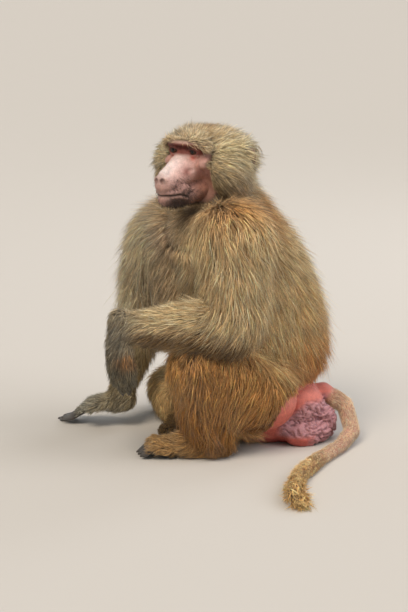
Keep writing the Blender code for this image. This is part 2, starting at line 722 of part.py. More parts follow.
# Depth of the coat at a point of a node.
def coat_at(node, point):
    if node == "head":
        return HEAD_COAT_DEPTH
    if node == "tail_tuft":
        return TUFT_DEPTH
    if node in LIMBS:
        start, end, _, coats = LIMBS[node]
        return blend(coats, along_bone(point, start, end))
    for low, high in zip(TRUNK, TRUNK[1:]):
        if point.z < high[0]:
            share = max(0.0, (point.z - low[0]) / (high[0] - low[0]))
            return low[5] + (high[5] - low[5]) * share
    return TRUNK[-1][5]


# The way that the hair lies at a point: back and outward on the head, along a limb and down elsewhere.
def lie(node, point):
    down = Vector((0, 0, -1))
    if node == "head":
        forward, left, up = head_axes()
        offset = point - HEAD
        side = max(-1.0, min(1.0, offset.dot(left) / HEAD_HALF_WIDTH))
        height = max(-1.0, min(1.0, offset.dot(up) / HEAD_HALF_HEIGHT)) * CROWN_LIFT
        return left * side * HEAD_SIDEWAYS - forward * (HEAD_BACK + height) - up * (HEAD_DOWN - height)
    follow = COATS[node][1]
    if node == "tail_tuft":
        return (TAIL[-1][0] - TAIL[-3][0]).normalized()
    if node in LIMBS:
        start, end = LIMBS[node][:2]
        return (end - start).normalized() * follow + down * (1 - follow)
    outward = Vector((point.x, point.y - TRUNK_MIDDLE, 0)).normalized()
    return down + outward * OUTWARD


def grows_hair(node, point):
    if node not in COATS:
        return False
    if node == "head":
        forward, left, up = head_axes()
        offset = point - HEAD
        ahead, height, across = offset.dot(forward), offset.dot(up), abs(offset.dot(left))
        if ahead > FACE_LINE and not (height > BROW_LINE and ahead < BROW_FRONT):
            return False
        if ahead > THROAT[0] and height < THROAT[1] and across < THROAT[2]:
            return False
        from_ear = math.hypot(ahead - EAR[0], height - EAR[2])
        return across < EAR_SIDE or from_ear > EAR_CLEARANCE
    return True


# One lock: a flat, tapered, three-sided blade that leaves the surface at its root, bends along it and stands
# off by the coat's depth at its tip. It ends before it leaves its node or meets the floor.
def lock(core, trees, node, root, normal, rng):
    length, _, width = LOCKS[COATS[node][0]]
    length *= rng.uniform(0.85, 1.15)
    width *= rng.uniform(0.85, 1.15)
    depth = coat_at(node, root) * (1 - CORE_SHARE)
    swing = Matrix.Rotation(math.radians(rng.uniform(-LOCK_SWING, LOCK_SWING)), 3, normal)
    place = root.copy()
    trail = [(root, normal.copy())]
    for step in range(1, LOCK_STEPS + 1):
        flow = swing @ lie(node, place)
        flow = flow - normal * flow.dot(normal)
        if flow.length < 0.05:
            return None
        place = place + flow.normalized() * length / LOCK_STEPS
        place, face_normal, _, _ = core.find_nearest(place)
        normal = (normal * 0.6 + face_normal * 0.4).normalized()
        tip = place + normal * depth * (step / LOCK_STEPS)
        if tip.z < LOWEST_TIP or node_at(tip, trees) != node or node_at(place, trees) != node:
            break
        trail.append((place, normal.copy()))
    reach = (len(trail) - 1) / LOCK_STEPS
    if reach < SHORTEST_LOCK:
        return None
    rise = depth * (0.35 + 0.65 * reach)
    width *= 0.5 + 0.5 * reach

    def at(share):
        spot = share * (len(trail) - 1)
        i = min(int(spot), len(trail) - 2)
        base = trail[i][0].lerp(trail[i + 1][0], spot - i)
        out = trail[i][1].lerp(trail[i + 1][1], spot - i).normalized()
        return base, out

    bm = bmesh.new()
    loops = []
    for share, broad in LOCK_RINGS:
        base, out = at(share)
        ahead = (at(min(1, share + 0.15))[0] - at(max(0, share - 0.15))[0]).normalized()
        across = ahead.cross(out).normalized() * width * broad / 2
        thick = out * LOCK_THICKNESS * broad / 2
        centre = base - out * LOCK_SINK if share == 0 else base + out * rise * share**LOCK_LIFT
        loops.append([bm.verts.new(centre + across - thick), bm.verts.new(centre - across - thick),
                      bm.verts.new(centre + thick)])
    base, out = at(1.0)
    end = bm.verts.new(base + out * rise)
    for low, high in zip(loops, loops[1:]):
        for i in range(3):
            j = (i + 1) % 3
            bm.faces.new((low[i], low[j], high[j], high[i]))
    for i in range(3):
        bm.faces.new((loops[-1][i], loops[-1][(i + 1) % 3], end))
    bm.faces.new(loops[0][::-1])
    bmesh.ops.triangulate(bm, faces=bm.faces)
    return to_object("lock", bm)


# The locks of the whole coat, from roots spread evenly over the core.
def locks(body, trees):
    rng = random.Random(LOCK_SEED)
    bm = bmesh.new()
    bm.from_mesh(body.data)
    bmesh.ops.triangulate(bm, faces=bm.faces)
    core = BVHTree.FromBMesh(bm)
    faces = list(bm.faces)
    areas = [face.calc_area() for face in faces]
    roots = []
    made = []
    for face in rng.choices(faces, areas, k=LOCK_TRIES):
        a, b, c = (vertex.co for vertex in face.verts)
        s, t = rng.random(), rng.random()
        if s + t > 1:
            s, t = 1 - s, 1 - t
        root = a + (b - a) * s + (c - a) * t
        node = node_at(root, trees)
        if not grows_hair(node, root) or root.z < LOWEST_TIP:
            continue
        spacing = LOCKS[COATS[node][0]][1]
        if any((root - other).length < (spacing + theirs) / 2 for other, theirs in roots):
            continue
        if core.ray_cast(root + face.normal * LOCK_SINK, face.normal, LOCK_ROOM)[0]:
            continue
        piece = lock(core, trees, node, root, face.normal.copy(), rng)
        if piece:
            roots.append((root, spacing))
            made.append(piece)
    bm.free()
    return made


def finished(node, name, colour, roughness):
    node.name = name
    node.data.materials.clear()
    node.data.materials.append(material(name, colour, roughness))
    node.data.shade_smooth()
    node.data.set_sharp_from_angle(angle=math.radians(50))


def build():
    for obj in list(bpy.data.objects):
        bpy.data.objects.remove(obj)
    share = CORE_SHARE
    flesh = trunk_pieces(share) + limb_pieces(share) + crown_pieces(share)
    body = fused(flesh, BODY_VOXEL, BODY_TRIANGLES)
    pieces = [
        face(),
        ear(1),
        ear(-1),
        hand(WRIST_L, HAND_L, 1),
        hand(WRIST_R, HAND_R, -1),
        foot(ANKLE_L, Vector((0.090, -0.124, -PRESS)), Vector((-0.13, -1.0, 0)), 1),
        foot(ANKLE_R, Vector((-0.110, -0.156, -PRESS)), Vector((0.95, -0.31, 0)), -1),
        rump(),
        tail(),
    ]
    combined(body, pieces, "UNION")
    combined(body, locks(body, territory_trees()), "UNION")
    combined(body, [box((-1, -1, -0.5), (1, 1, 0)), eye(1, GAP), eye(-1, GAP)], "DIFFERENCE")
    for name, side in (("eye_left", 1), ("eye_right", -1)):
        finished(eye(side), name, BLACK, 0.15)
    for name, colour, space in TERRITORIES:
        node = body.copy()
        node.data = body.data.copy()
        bpy.context.scene.collection.objects.link(node)
        combined(node, [space(0.0)], "INTERSECT")
        combined(body, [space(GAP)], "DIFFERENCE")
        finished(welded(largest(node)), name, colour, 0.8)
    bpy.data.objects.remove(body)


build()
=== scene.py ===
# A life-size model of a seated baboon: its skin, eyes, nails and coat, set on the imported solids.
# Metres, +Z up. It faces -Y, its left side is +X, and the origin is on the floor under its seat.
import math

import bpy
import numpy as np
from mathutils import Matrix, Vector, noise
from mathutils.bvhtree import BVHTree
from mathutils.kdtree import KDTree


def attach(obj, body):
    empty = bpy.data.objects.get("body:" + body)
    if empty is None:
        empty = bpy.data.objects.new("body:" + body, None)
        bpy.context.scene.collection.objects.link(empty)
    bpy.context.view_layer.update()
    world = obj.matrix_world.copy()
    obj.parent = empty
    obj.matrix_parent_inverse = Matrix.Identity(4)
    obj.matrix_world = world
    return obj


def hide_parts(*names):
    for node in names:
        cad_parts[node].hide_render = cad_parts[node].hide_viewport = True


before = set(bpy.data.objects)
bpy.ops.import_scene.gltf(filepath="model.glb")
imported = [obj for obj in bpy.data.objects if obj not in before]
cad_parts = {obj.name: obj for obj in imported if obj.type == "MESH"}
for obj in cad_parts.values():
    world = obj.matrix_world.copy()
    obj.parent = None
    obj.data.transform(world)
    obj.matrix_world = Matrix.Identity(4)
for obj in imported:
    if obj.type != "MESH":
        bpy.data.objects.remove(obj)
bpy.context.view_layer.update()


# sRGB hex to linear red, green, blue and alpha
def linear(code):
    parts = [int(code[i : i + 2], 16) / 255 for i in (1, 3, 5)]
    return [(c / 12.92 if c <= 0.04045 else ((c + 0.055) / 1.055) ** 2.4) for c in parts] + [1.0]


def rgb(code):
    return np.array(linear(code)[:3])


# adds a node with its settings, and links or sets its inputs
def addNode(tree, kind, inputs=None, **settings):
    node = tree.nodes.new(kind)
    for name, value in settings.items():
        setattr(node, name, value)
    for name, value in (inputs or {}).items():
        if isinstance(value, bpy.types.NodeSocket):
            tree.links.new(value, node.inputs[name])
        else:
            node.inputs[name].default_value = value
    return node


def newMaterial(name, roughness, specular=0.5):
    material = bpy.data.materials.new(name)
    material.use_nodes = True
    shader = material.node_tree.nodes["Principled BSDF"]
    shader.inputs["Roughness"].default_value = roughness
    shader.inputs["Specular IOR Level"].default_value = specular
    return material, material.node_tree, shader


def objectPlace(tree):
    return addNode(tree, "ShaderNodeTexCoord").outputs["Object"]


# a noise, raw and drawn out between two values
def addNoise(tree, place, scale, detail, spread, values):
    grain = addNode(tree, "ShaderNodeTexNoise", {"Vector": place, "Scale": scale, "Detail": detail})
    drawn = addNode(tree, "ShaderNodeMapRange", {
        "Value": grain.outputs["Fac"], "From Min": spread[0], "From Max": spread[1],
        "To Min": values[0], "To Max": values[1],
    })
    return grain.outputs["Fac"], drawn.outputs["Result"]


def mixNode(tree, factor, first, second):
    return addNode(tree, "ShaderNodeMix", {0: factor, 6: first, 7: second}, data_type="RGBA").outputs[2]


# camera, floor and light first

view = {
    "azimuth": 80,
    "elevation": 12,
    "distance": 3.3,
    "lens": 112.6,
    "target": (-0.07049, -0.12937, 0.22091),
}


def setCamera():
    azimuth, elevation = math.radians(view["azimuth"]), math.radians(view["elevation"])
    level = math.cos(elevation)
    back = Vector((level * math.sin(azimuth), -level * math.cos(azimuth), math.sin(elevation)))
    camera = bpy.data.cameras.new("camera")
    camera.lens = view["lens"]
    camera.sensor_width = 36
    camera.clip_end = 200
    cameraObject = bpy.data.objects.new("camera", camera)
    cameraObject.location = Vector(view["target"]) + back * view["distance"]
    cameraObject.rotation_euler = back.to_track_quat("Z", "Y").to_euler()
    bpy.context.scene.collection.objects.link(cameraObject)
    bpy.context.scene.camera = cameraObject


studio = {
    "floorSize": 60,
    "floorColour": "#c4c0b9",
    "worldColour": "#e9edf0",
    "worldStrength": 0.50,
    # name, direction, spread in degrees, strength and colour of the even lights
    "suns": [("key", (0.80, -0.60, 1.20), 30, 2.3, "#fff1e0"), ("fill", (0.60, 1.00, 0.95), 50, 1.5, "#f6f2f4")],
    # name, place, size, watts, colour
    "lamps": [("rim", (-1.5, 1.9, 1.9), 1.2, 14, "#f3f5ff")],
    "lampsAim": (0, -0.1, 0.25),
}


def addLight(name, kind, power, colour, way, place=(0, 0, 0)):
    light = bpy.data.lights.new(name, kind)
    light.energy = power
    light.color = linear(colour)[:3]
    lightObject = bpy.data.objects.new(name, light)
    lightObject.location = place
    lightObject.rotation_euler = Vector(way).to_track_quat("Z", "Y").to_euler()
    bpy.context.scene.collection.objects.link(lightObject)
    return light


def setStudio():
    bpy.ops.object.select_all(action="DESELECT")
    bpy.ops.mesh.primitive_plane_add(size=studio["floorSize"], location=(0, 0, 0))
    floor = bpy.context.object
    floor.name = "floor"
    bpy.ops.object.transform_apply(scale=True)
    # matt painted board
    material, _, shader = newMaterial("mattPaintedBoard", 0.9, 0.2)
    shader.inputs["Base Color"].default_value = linear(studio["floorColour"])
    floor.data.materials.append(material)
    for name, place, size, watts, colour in studio["lamps"]:
        lamp = addLight(name, "AREA", watts, colour, Vector(place) - Vector(studio["lampsAim"]), place)
        lamp.shape = "DISK"
        lamp.size = size
    for name, way, spread, strength, colour in studio["suns"]:
        sun = addLight(name, "SUN", strength, colour, way)
        sun.angle = math.radians(spread)
    world = bpy.data.worlds.new("softWorld")
    world.use_nodes = True
    background = world.node_tree.nodes["Background"]
    background.inputs["Color"].default_value = linear(studio["worldColour"])
    background.inputs["Strength"].default_value = studio["worldStrength"]
    bpy.context.scene.world = world
    bpy.context.scene.view_settings.view_transform = "Standard"


setCamera()
setStudio()
print("camera, floor and light")

# the body's measures, as in the solids

body = {
    # height, centre along Y, half depth, half width, twist in degrees, depth of the coat
    "trunk": np.array([
        (0.012, -0.030, 0.044, 0.040, 0, 0.000),
        (0.030, -0.036, 0.066, 0.056, 0, 0.002),
        (0.065, -0.044, 0.084, 0.068, 4, 0.008),
        (0.110, -0.058, 0.112, 0.080, 8, 0.020),
        (0.168, -0.062, 0.119, 0.085, 13, 0.026),
        (0.225, -0.063, 0.110, 0.083, 18, 0.030),
        (0.285, -0.073, 0.100, 0.078, 23, 0.033),
        (0.335, -0.087, 0.087, 0.070, 27, 0.034),
        (0.375, -0.101, 0.068, 0.058, 30, 0.034),
        (0.415, -0.117, 0.053, 0.049, 34, 0.032),
        (0.455, -0.136, 0.042, 0.043, 38, 0.024),
    ]),
    # start, end, radii of the flesh and depths of the coat at the start, the middle and the end
    "limbs": {
        "upperArmLeft": (
            (0.088, -0.106, 0.362), (0.140, -0.114, 0.232), (0.046, 0.038, 0.031), (0.030, 0.028, 0.026),
        ),
        "forearmLeft": (
            (0.140, -0.114, 0.232), (0.112, -0.298, 0.230), (0.030, 0.027, 0.017), (0.024, 0.016, 0.006),
        ),
        "upperArmRight": (
            (-0.084, -0.196, 0.340), (-0.142, -0.223, 0.196), (0.046, 0.038, 0.031), (0.030, 0.028, 0.024),
        ),
        "forearmRight": (
            (-0.142, -0.223, 0.196), (-0.120, -0.272, 0.048), (0.028, 0.024, 0.016), (0.018, 0.012, 0.005),
        ),
        "thighLeft": (
            (0.064, -0.050, 0.090), (0.118, -0.180, 0.158), (0.056, 0.054, 0.038), (0.016, 0.020, 0.012),
        ),
        "shinLeft": (
            (0.118, -0.180, 0.158), (0.090, -0.140, 0.038), (0.036, 0.036, 0.024), (0.014, 0.026, 0.018),
        ),
        "thighRight": (
            (-0.066, -0.044, 0.072), (-0.198, -0.168, 0.044), (0.056, 0.046, 0.034), (0.014, 0.016, 0.014),
        ),
        "shinRight": (
            (-0.198, -0.168, 0.044), (-0.092, -0.166, 0.036), (0.033, 0.030, 0.024), (0.014, 0.016, 0.010),
        ),
    },
    "shoulders": [
        ((-0.084, -0.196, 0.340), 0.046), ((-0.020, -0.142, 0.350), 0.060), ((0.088, -0.106, 0.362), 0.048),
    ],
    "breast": [((-0.060, -0.176, 0.330), 0.050), ((-0.030, -0.140, 0.260), 0.062)],
    "tail": [
        ((0.000, 0.030, 0.074), 0.0180), ((0.002, 0.066, 0.080), 0.0150), ((0.014, 0.102, 0.056), 0.0125),
        ((0.050, 0.106, 0.020), 0.0120), ((0.105, 0.072, 0.0105), 0.0100), ((0.175, 0.018, 0.0105), 0.0098),
        ((0.250, -0.030, 0.0105), 0.0095), ((0.315, -0.054, 0.0110), 0.0085), ((0.365, -0.062, 0.0100), 0.0065),
        ((0.392, -0.062, 0.0090), 0.0035),
    ],
    "bodyVoxel": 0.004,
    "floorGap": 0.0004,  # the skin is cut flat this high above the floor
}

head = {
    "centre": Vector((0.005, -0.144, 0.488)),
    "turn": 40,
    "eye": (0.0450, 0.0208, 0.0163),
    "eyeRadius": 0.0088,
    "ear": (-0.016, 0.072, 0.006),
    "earTurn": 35,
    "faceVoxel": 0.0011,
    # line of the mouth, from its corner to the middle
    "mouth": [
        (0.0670, 0.0285, -0.0552), (0.0755, 0.0275, -0.0512), (0.0850, 0.0250, -0.0491),
        (0.0990, 0.0162, -0.0503), (0.1080, 0, -0.0511),
    ],
}


def headAxes():
    turn = math.radians(head["turn"])
    forward = Vector((math.sin(turn), -math.cos(turn), 0))
    left = Vector((math.cos(turn), math.sin(turn), 0))
    return forward, left, Vector((0, 0, 1))


# a point given as forward, left and up of the middle of the head
def headPoint(forward, left, up):
    axes = headAxes()
    return head["centre"] + axes[0] * forward + axes[1] * left + axes[2] * up


# the middle of an eye, in the head's own directions
def eyePlace(side, further=0.0, higher=0.0):
    return head["eye"][0] + further, side * head["eye"][1], head["eye"][2] + higher


# modelling helpers: each adds a primitive at its size and place

def ball(centre, radii, axes=None, segments=24):
    turn = Matrix.Identity(3)
    if axes:
        turn = Matrix([Vector(axis) for axis in axes]).transposed()
        if turn.determinant() < 0:
            turn = Matrix([-Vector(axes[0]), Vector(axes[1]), Vector(axes[2])]).transposed()
    bpy.ops.mesh.primitive_uv_sphere_add(
        segments=segments, ring_count=segments * 2 // 3, radius=1, location=centre, rotation=turn.to_euler()
    )
    made = bpy.context.object
    made.scale = radii
    return made


def headBall(place, radii, segments=24):
    return ball(headPoint(*place), radii, headAxes(), segments)


# a chain of balls and cones through points
def chain(points, radii, sides=20):
    points = [Vector(point) for point in points]
    made = [ball(point, (radius,) * 3, segments=sides) for point, radius in zip(points, radii)]
    for low, high, thick, thin in zip(points, points[1:], radii, radii[1:]):
        way = high - low
        bpy.ops.mesh.primitive_cone_add(
            vertices=sides, radius1=thick, radius2=thin, depth=way.length, location=(low + high) / 2,
            rotation=way.to_track_quat("Z", "Y").to_euler(),
        )
        made.append(bpy.context.object)
    return made


def headChain(stations, radii, sides=16, squash=None):
    points = [headPoint(*station) for station in stations]
    made = chain(points, radii, sides)
    if squash:  # flatter in height than in width
        made = [joinPieces(made)]
        applyTransforms()
        flattenAlong(made[0], points, squash)
    return made


# squashes a chain towards the line of its own middle
def flattenAlong(piece, points, squash):
    places = readPlaces(piece)
    axis = (points[-1] - points[0]).normalized()
    along = (places - np.array(points[0])) @ np.array(axis)
    marks = [(point - points[0]).dot(axis) for point in points]
    order = np.argsort(marks)
    middle = np.interp(along, np.array(marks)[order], np.array([point.z for point in points])[order])
    places[:, 2] = middle + (places[:, 2] - middle) * squash
    writePlaces(piece, places)


def readPlaces(piece):
    places = np.empty(len(piece.data.vertices) * 3)
    piece.data.vertices.foreach_get("co", places)
    return places.reshape(-1, 3)


def writePlaces(piece, places):
    piece.data.vertices.foreach_set("co", np.ascontiguousarray(places, dtype=np.float32).ravel())
    piece.data.update()


def joinPieces(pieces):
    bpy.ops.object.select_all(action="DESELECT")
    for piece in pieces:
        piece.select_set(True)
    bpy.context.view_layer.objects.active = pieces[0]
    if len(pieces) > 1:
        bpy.ops.object.join()
    return bpy.context.object


def applyTransforms():
    bpy.ops.object.transform_apply(location=True, rotation=True, scale=True)


def applyModifier(piece, name):
    bpy.ops.object.select_all(action="DESELECT")
    piece.select_set(True)
    bpy.context.view_layer.objects.active = piece
    bpy.ops.object.modifier_apply(modifier=name)


def remesh(piece, voxel):
    modifier = piece.modifiers.new("remesh", "REMESH")
    modifier.mode = "VOXEL"
    modifier.voxel_size = voxel
    applyModifier(piece, "remesh")


def smooth(piece, times, factor=0.5):
    modifier = piece.modifiers.new("smooth", "SMOOTH")
    modifier.factor = factor
    modifier.iterations = times
    applyModifier(piece, "smooth")


# one Boolean on a collection of closed pieces
def combine(piece, others, operation):
    group = bpy.data.collections.new("others")
    bpy.context.scene.collection.children.link(group)
    for other in others:
        for owner in list(other.users_collection):
            owner.objects.unlink(other)
        group.objects.link(other)
    modifier = piece.modifiers.new("combine", "BOOLEAN")
    modifier.operation = operation
    modifier.solver = "MANIFOLD"
    modifier.operand_type = "COLLECTION"
    modifier.collection = group
    applyModifier(piece, "combine")
    for other in others:
        bpy.data.objects.remove(other)
    bpy.data.collections.remove(group)


# overlapping pieces made one closed surface, with hollows carved out
def fuse(name, pieces, voxel, smoothing, hollows=()):
    made = joinPieces(pieces)
    applyTransforms()
    made.name = name
    remesh(made, voxel)
    if hollows:
        cutter = joinPieces(list(hollows))
        applyTransforms()
        remesh(cutter, voxel * 0.8)
        combine(made, [cutter], "DIFFERENCE")
        remesh(made, voxel)
    smooth(made, smoothing)
    return made


# the skin: trunk, limbs and the skull under the hair

def trunkPieces():
    rings = body["trunk"]
    made = []
    for height in np.linspace(rings[0, 0] + 0.012, rings[-1, 0], 36):
        middle, depth, width, twist = (np.interp(height, rings[:, 0], rings[:, i]) for i in (1, 2, 3, 4))
        turn = math.radians(twist)
        axes = (
            Vector((math.cos(turn), math.sin(turn), 0)),
            Vector((-math.sin(turn), math.cos(turn), 0)),
            Vector((0, 0, 1)),
        )
        made.append(ball((0, middle, height), (width, depth, 0.030), axes))
    for path in (body["shoulders"], body["breast"]):
        made += chain([point for point, _ in path], [radius for _, radius in path])
    return made


def limbPieces():
    made = []
    for start, end, radii, _ in body["limbs"].values():
        start, end = Vector(start), Vector(end)
        made += chain([start, start.lerp(end, 0.5), end], radii)
    return made


def skullPieces():
    shapes = [
        ((-0.012, 0, 0.001), (0.062, 0.063, 0.046)),
        ((-0.014, 0, -0.040), (0.046, 0.052, 0.050)),
        ((0.004, 0.050, -0.012), (0.030, 0.024, 0.036)),
        ((0.004, -0.050, -0.012), (0.030, 0.024, 0.036)),
    ]
    made = [headBall(place, radii) for place, radii in shapes]
    return made + headChain([(-0.010, 0, -0.020), (-0.024, 0, -0.090)], [0.043, 0.040])


def makeFace():
    made = [
        headBall((-0.004, 0, 0.001), (0.062, 0.049, 0.040)),
        headBall((0.1045, 0, -0.0240), (0.0080, 0.0118, 0.0080)),  # tip of the nose
        headBall((0.0900, 0, -0.0610), (0.0115, 0.0140, 0.0120)),  # chin
    ]
    made += headChain(  # ridge of the brow
        [(0.0395, -0.0395, 0.0235), (0.0498, -0.0285, 0.0300), (0.0550, -0.0120, 0.0302), (0.0550, 0.0120, 0.0302),
         (0.0498, 0.0285, 0.0300), (0.0395, 0.0395, 0.0235)],
        [0.0044, 0.0048, 0.0048, 0.0048, 0.0048, 0.0044],
    )
    made += headChain(  # muzzle
        [(0.016, 0, -0.006), (0.0500, 0, -0.0125), (0.0746, 0, -0.0230), (0.0935, 0, -0.0325),
         (0.0990, 0, -0.0350)],
        [0.0370, 0.0280, 0.0230, 0.0188, 0.0150], 24, 0.90,
    )
    made += headChain([(0.046, 0, 0.0055), (0.0787, 0, -0.0058), (0.1015, 0, -0.0185)], [0.0080, 0.0085, 0.0080])
    made += headChain(  # lower jaw
        [(0.0925, 0, -0.0590), (0.0740, 0, -0.0590), (0.048, 0, -0.0540), (0.015, 0, -0.0450)],
        [0.0145, 0.0190, 0.0265, 0.0320], 24, 0.72,
    )
    hollows = []
    for side in (-1, 1):
        made += [
            headBall((0.034, side * 0.0355, -0.003), (0.019, 0.0095, 0.0110)),  # cheekbone
            headBall(eyePlace(side), (0.0112, 0.0118, 0.0112)),
            headBall((0.1030, side * 0.0098, -0.0255), (0.0070, 0.0052, 0.0062)),  # wing of the nose
            headBall((0.0735, side * 0.0195, -0.0415), (0.0150, 0.0080, 0.0085)),  # side of the upper lip
            headBall((0.0690, side * 0.0125, -0.0125), (0.019, 0.0050, 0.0060)),  # ridge along the muzzle
        ]
        made += headChain(  # upper lip
            [(0.0700, side * 0.0245, -0.0500), (0.0845, side * 0.0214, -0.0455), (0.0980, side * 0.0130, -0.0468),
             (0.1032, 0, -0.0473)],
            [0.0026, 0.0036, 0.0042, 0.0044],
        )
        made += headChain(  # lower lip
            [(0.0690, side * 0.0240, -0.0572), (0.0820, side * 0.0205, -0.0532), (0.0950, side * 0.0122, -0.0542),
             (0.1000, 0, -0.0550)],
            [0.0024, 0.0034, 0.0040, 0.0042],
        )
        hollows += [
            headBall((0.1105, side * 0.0062, -0.0262), (0.0064, 0.0040, 0.0042), 16),  # nostril
            headBall((0.0670, side * 0.0295, -0.0115), (0.0130, 0.0068, 0.0070)),  # hollow beside the muzzle
            headBall((0.0470, side * 0.0400, -0.0200), (0.0110, 0.0070, 0.0100)),  # hollow of the cheek
            headBall(eyePlace(side, 0.0100, -0.0004), (0.0076, 0.0098, 0.0042)),  # gap between the lids
        ]
        hollows += headChain(
            [(forward, side * left, up) for forward, left, up in head["mouth"]],
            [0.0012, 0.0014, 0.0015, 0.0015, 0.0015], 10,
        )
    return fuse("face", made, head["faceVoxel"], 3, hollows)


def makeEar(side):
    axes = headAxes()
    forward, left, up = head["ear"]
    turn = math.radians(head["earTurn"])
    out = axes[1] * side * math.cos(turn) - axes[0] * math.sin(turn)
    normal = (axes[0] * 0.75 + axes[1] * side * 0.66).normalized()
    wide = axes[2].cross(normal)
    middle = headPoint(forward, side * left, up) + out * 0.010
    bowl = ball(middle, (0.0120, 0.0165, 0.0070), (wide, axes[2], normal))
    scoop = ball(middle + normal * 0.0065, (0.0095, 0.0138, 0.0085), (wide, axes[2], normal))
    root = ball(headPoint(forward, side * left, up) - axes[1] * side * 0.014, (0.0095, 0.0135, 0.022),
                (axes[0], axes[2], axes[1]))
    return fuse("ear", [bowl, root], 0.0011, 2, [scoop])


hands = {
    "palm": (0.058, 0.040, 0.020),
    "fingers": (0.050, 0.060, 0.057, 0.045),
    "radius": 0.0062,
    "voxel": 0.0015,
    # wrist, direction of the palm, way of the back of the hand, curls, spread, thumb, its side, length of fingers
    "left": (
        (0.112, -0.298, 0.230), (0.02, 0.00, -1.0), (0.72, -0.68, 0.05), (-5, -8, -10), 0.4, 0.20, 1, 1.0,
    ),
    "right": (
        (-0.120, -0.272, 0.048), (-0.490, -0.800, -0.250), (0.0, 0.0, 1.0), (-15, -4, 20), 1.0, 0.62, -1, 1.1,
    ),
}
nailPlaces = []


def makeHand(which):
    wrist, ahead, back, curls, splay, thumbOut, thumbSide, drawn = hands[which]
    length, width, depth = hands["palm"]
    wrist = Vector(wrist)
    ahead = Vector(ahead).normalized()
    back = Vector(back)
    back = (back - ahead * back.dot(ahead)).normalized()
    thumb = ahead.cross(back) * thumbSide
    made = [ball(wrist + ahead * length * 0.55, (width * 0.54, length * 0.62, depth * 0.46), (thumb, ahead, back))]
    made += chain([wrist - ahead * 0.012, wrist + ahead * 0.012], [0.0165, 0.0135])
    for i, fingerLength in enumerate(hands["fingers"]):
        spread = math.radians((9 - 6 * i) * splay)
        way = (ahead * math.cos(spread) + thumb * math.sin(spread)).normalized()
        across = width * (0.36 - 0.24 * i)
        point = wrist + ahead * (length - 0.006 - 0.002 * (i - 1.5) ** 2) + thumb * across
        made += chain([wrist + ahead * 0.014 + thumb * across * 0.6 + back * 0.003, point + back * 0.002],
                      [0.0060, 0.0066], 14)  # the bone of the palm behind each finger
        path = [point]
        for share, curl in zip((0.45, 0.32, 0.23), curls):
            way = Matrix.Rotation(math.radians(curl), 3, way.cross(back)) @ way
            point = point + way * fingerLength * share * drawn
            path.append(point)
        radii = [hands["radius"] * size for size in (1.12, 1.04, 0.96, 0.78)]
        made += chain(path, radii, 14)
        made.append(ball(path[1] + back * 0.0012, (0.0066, 0.0066, 0.0066), segments=14))
        nailPlaces.append((path[-1], way, back, radii[-1]))
    root = wrist + ahead * 0.016 + thumb * width * 0.34
    way = (ahead * 0.80 + thumb * thumbOut - back * 0.12).normalized()
    path = [root, root + way * 0.018, root + way * 0.032]
    made += chain(path, [0.0078, 0.0064, 0.0050], 14)
    nailPlaces.append((path[-1], way, back, 0.0050))
    return fuse("hand", made, hands["voxel"], 3)


feet = {
    "voxel": 0.0016,
    # ankle, heel, direction, side of the big toe
    "left": ((0.090, -0.140, 0.038), (0.090, -0.124, 0.0), (-0.13, -1.0, 0), 1),
    "right": ((-0.092, -0.166, 0.036), (-0.110, -0.156, 0.0), (0.95, -0.31, 0), -1),
}


def makeFoot(which):
    ankle, heel, ahead, bigToeSide = feet[which]
    ankle, heel, ahead = Vector(ankle), Vector(heel), Vector(ahead).normalized()
    up = Vector((0, 0, 1))
    side = ahead.cross(up) * bigToeSide
    axes = (side, ahead, up)
    front = heel + ahead * 0.094
    made = chain([ankle + up * 0.012, ankle - up * 0.012, heel + ahead * 0.014 + up * 0.016],
                 [0.022, 0.0205, 0.0155])
    made += [
        ball(heel + ahead * 0.010 + up * 0.014, (0.0165, 0.0215, 0.0150), axes),
        ball(heel + ahead * 0.052 + up * 0.0160, (0.0200, 0.054, 0.0172), axes),
        ball(front + up * 0.0140, (0.0232, 0.022, 0.0148), axes),
    ]
    for i in range(4):
        length = 0.038 + 0.006 * (1 - abs(i - 1.2) * 0.6)
        root = front + side * (0.0170 - 0.0120 * i) + up * 0.012
        path = [root, root + ahead * length * 0.55 + up * 0.010, root + ahead * length - up * 0.0035]
        made += chain(path, [0.0070, 0.0064, 0.0056], 14)
        nailPlaces.append((path[-1], (path[2] - path[1]).normalized(), up, 0.0056))
    root = heel + ahead * 0.045 + side * 0.016 + up * 0.010
    way = (ahead * 0.75 + side * 0.66).normalized()
    path = [root, root + way * 0.022, root + way * 0.040 - up * 0.002]
    made += chain(path, [0.0086, 0.0078, 0.0064], 14)
    nailPlaces.append((path[-1], way, up, 0.0064))
    return fuse("foot", made, feet["voxel"], 3)


seat = {
    "voxel": 0.0018,
    "wrinkle": 0.0056,  # depth of the folds
    "foldSeed": 1,
}
noise.seed_set(seat["foldSeed"])  # without it Blender takes the clock, and the folds differ on every run


def makeRump():
    made = [
        ball((0, -0.002, 0.036), (0.064, 0.056, 0.042)),
        ball((0, 0.034, 0.066), (0.034, 0.034, 0.032)),
        ball((0, 0.056, 0.028), (0.020, 0.022, 0.030)),
    ]
    for side in (-1, 1):
        made += [
            ball((side * 0.034, 0.018, 0.066), (0.034, 0.042, 0.036)),
            ball((side * 0.030, 0.040, 0.022), (0.030, 0.034, 0.026)),
            ball((side * 0.022, 0.064, 0.036), (0.020, 0.020, 0.024)),
            ball((side * 0.034, 0.056, 0.050), (0.018, 0.018, 0.016)),
            ball((side * 0.052, 0.020, 0.020), (0.022, 0.034, 0.024)),
            ball((side * 0.012, 0.074, 0.020), (0.014, 0.012, 0.018)),
        ]
    made = fuse("rump", made, seat["voxel"], 3)
    places = readPlaces(made)
    normals = readNormals(made)
    folds = foldDepth(places)
    writePlaces(made, places - normals * (folds * seat["wrinkle"])[:, None])
    smooth(made, 1, 0.4)
    return made


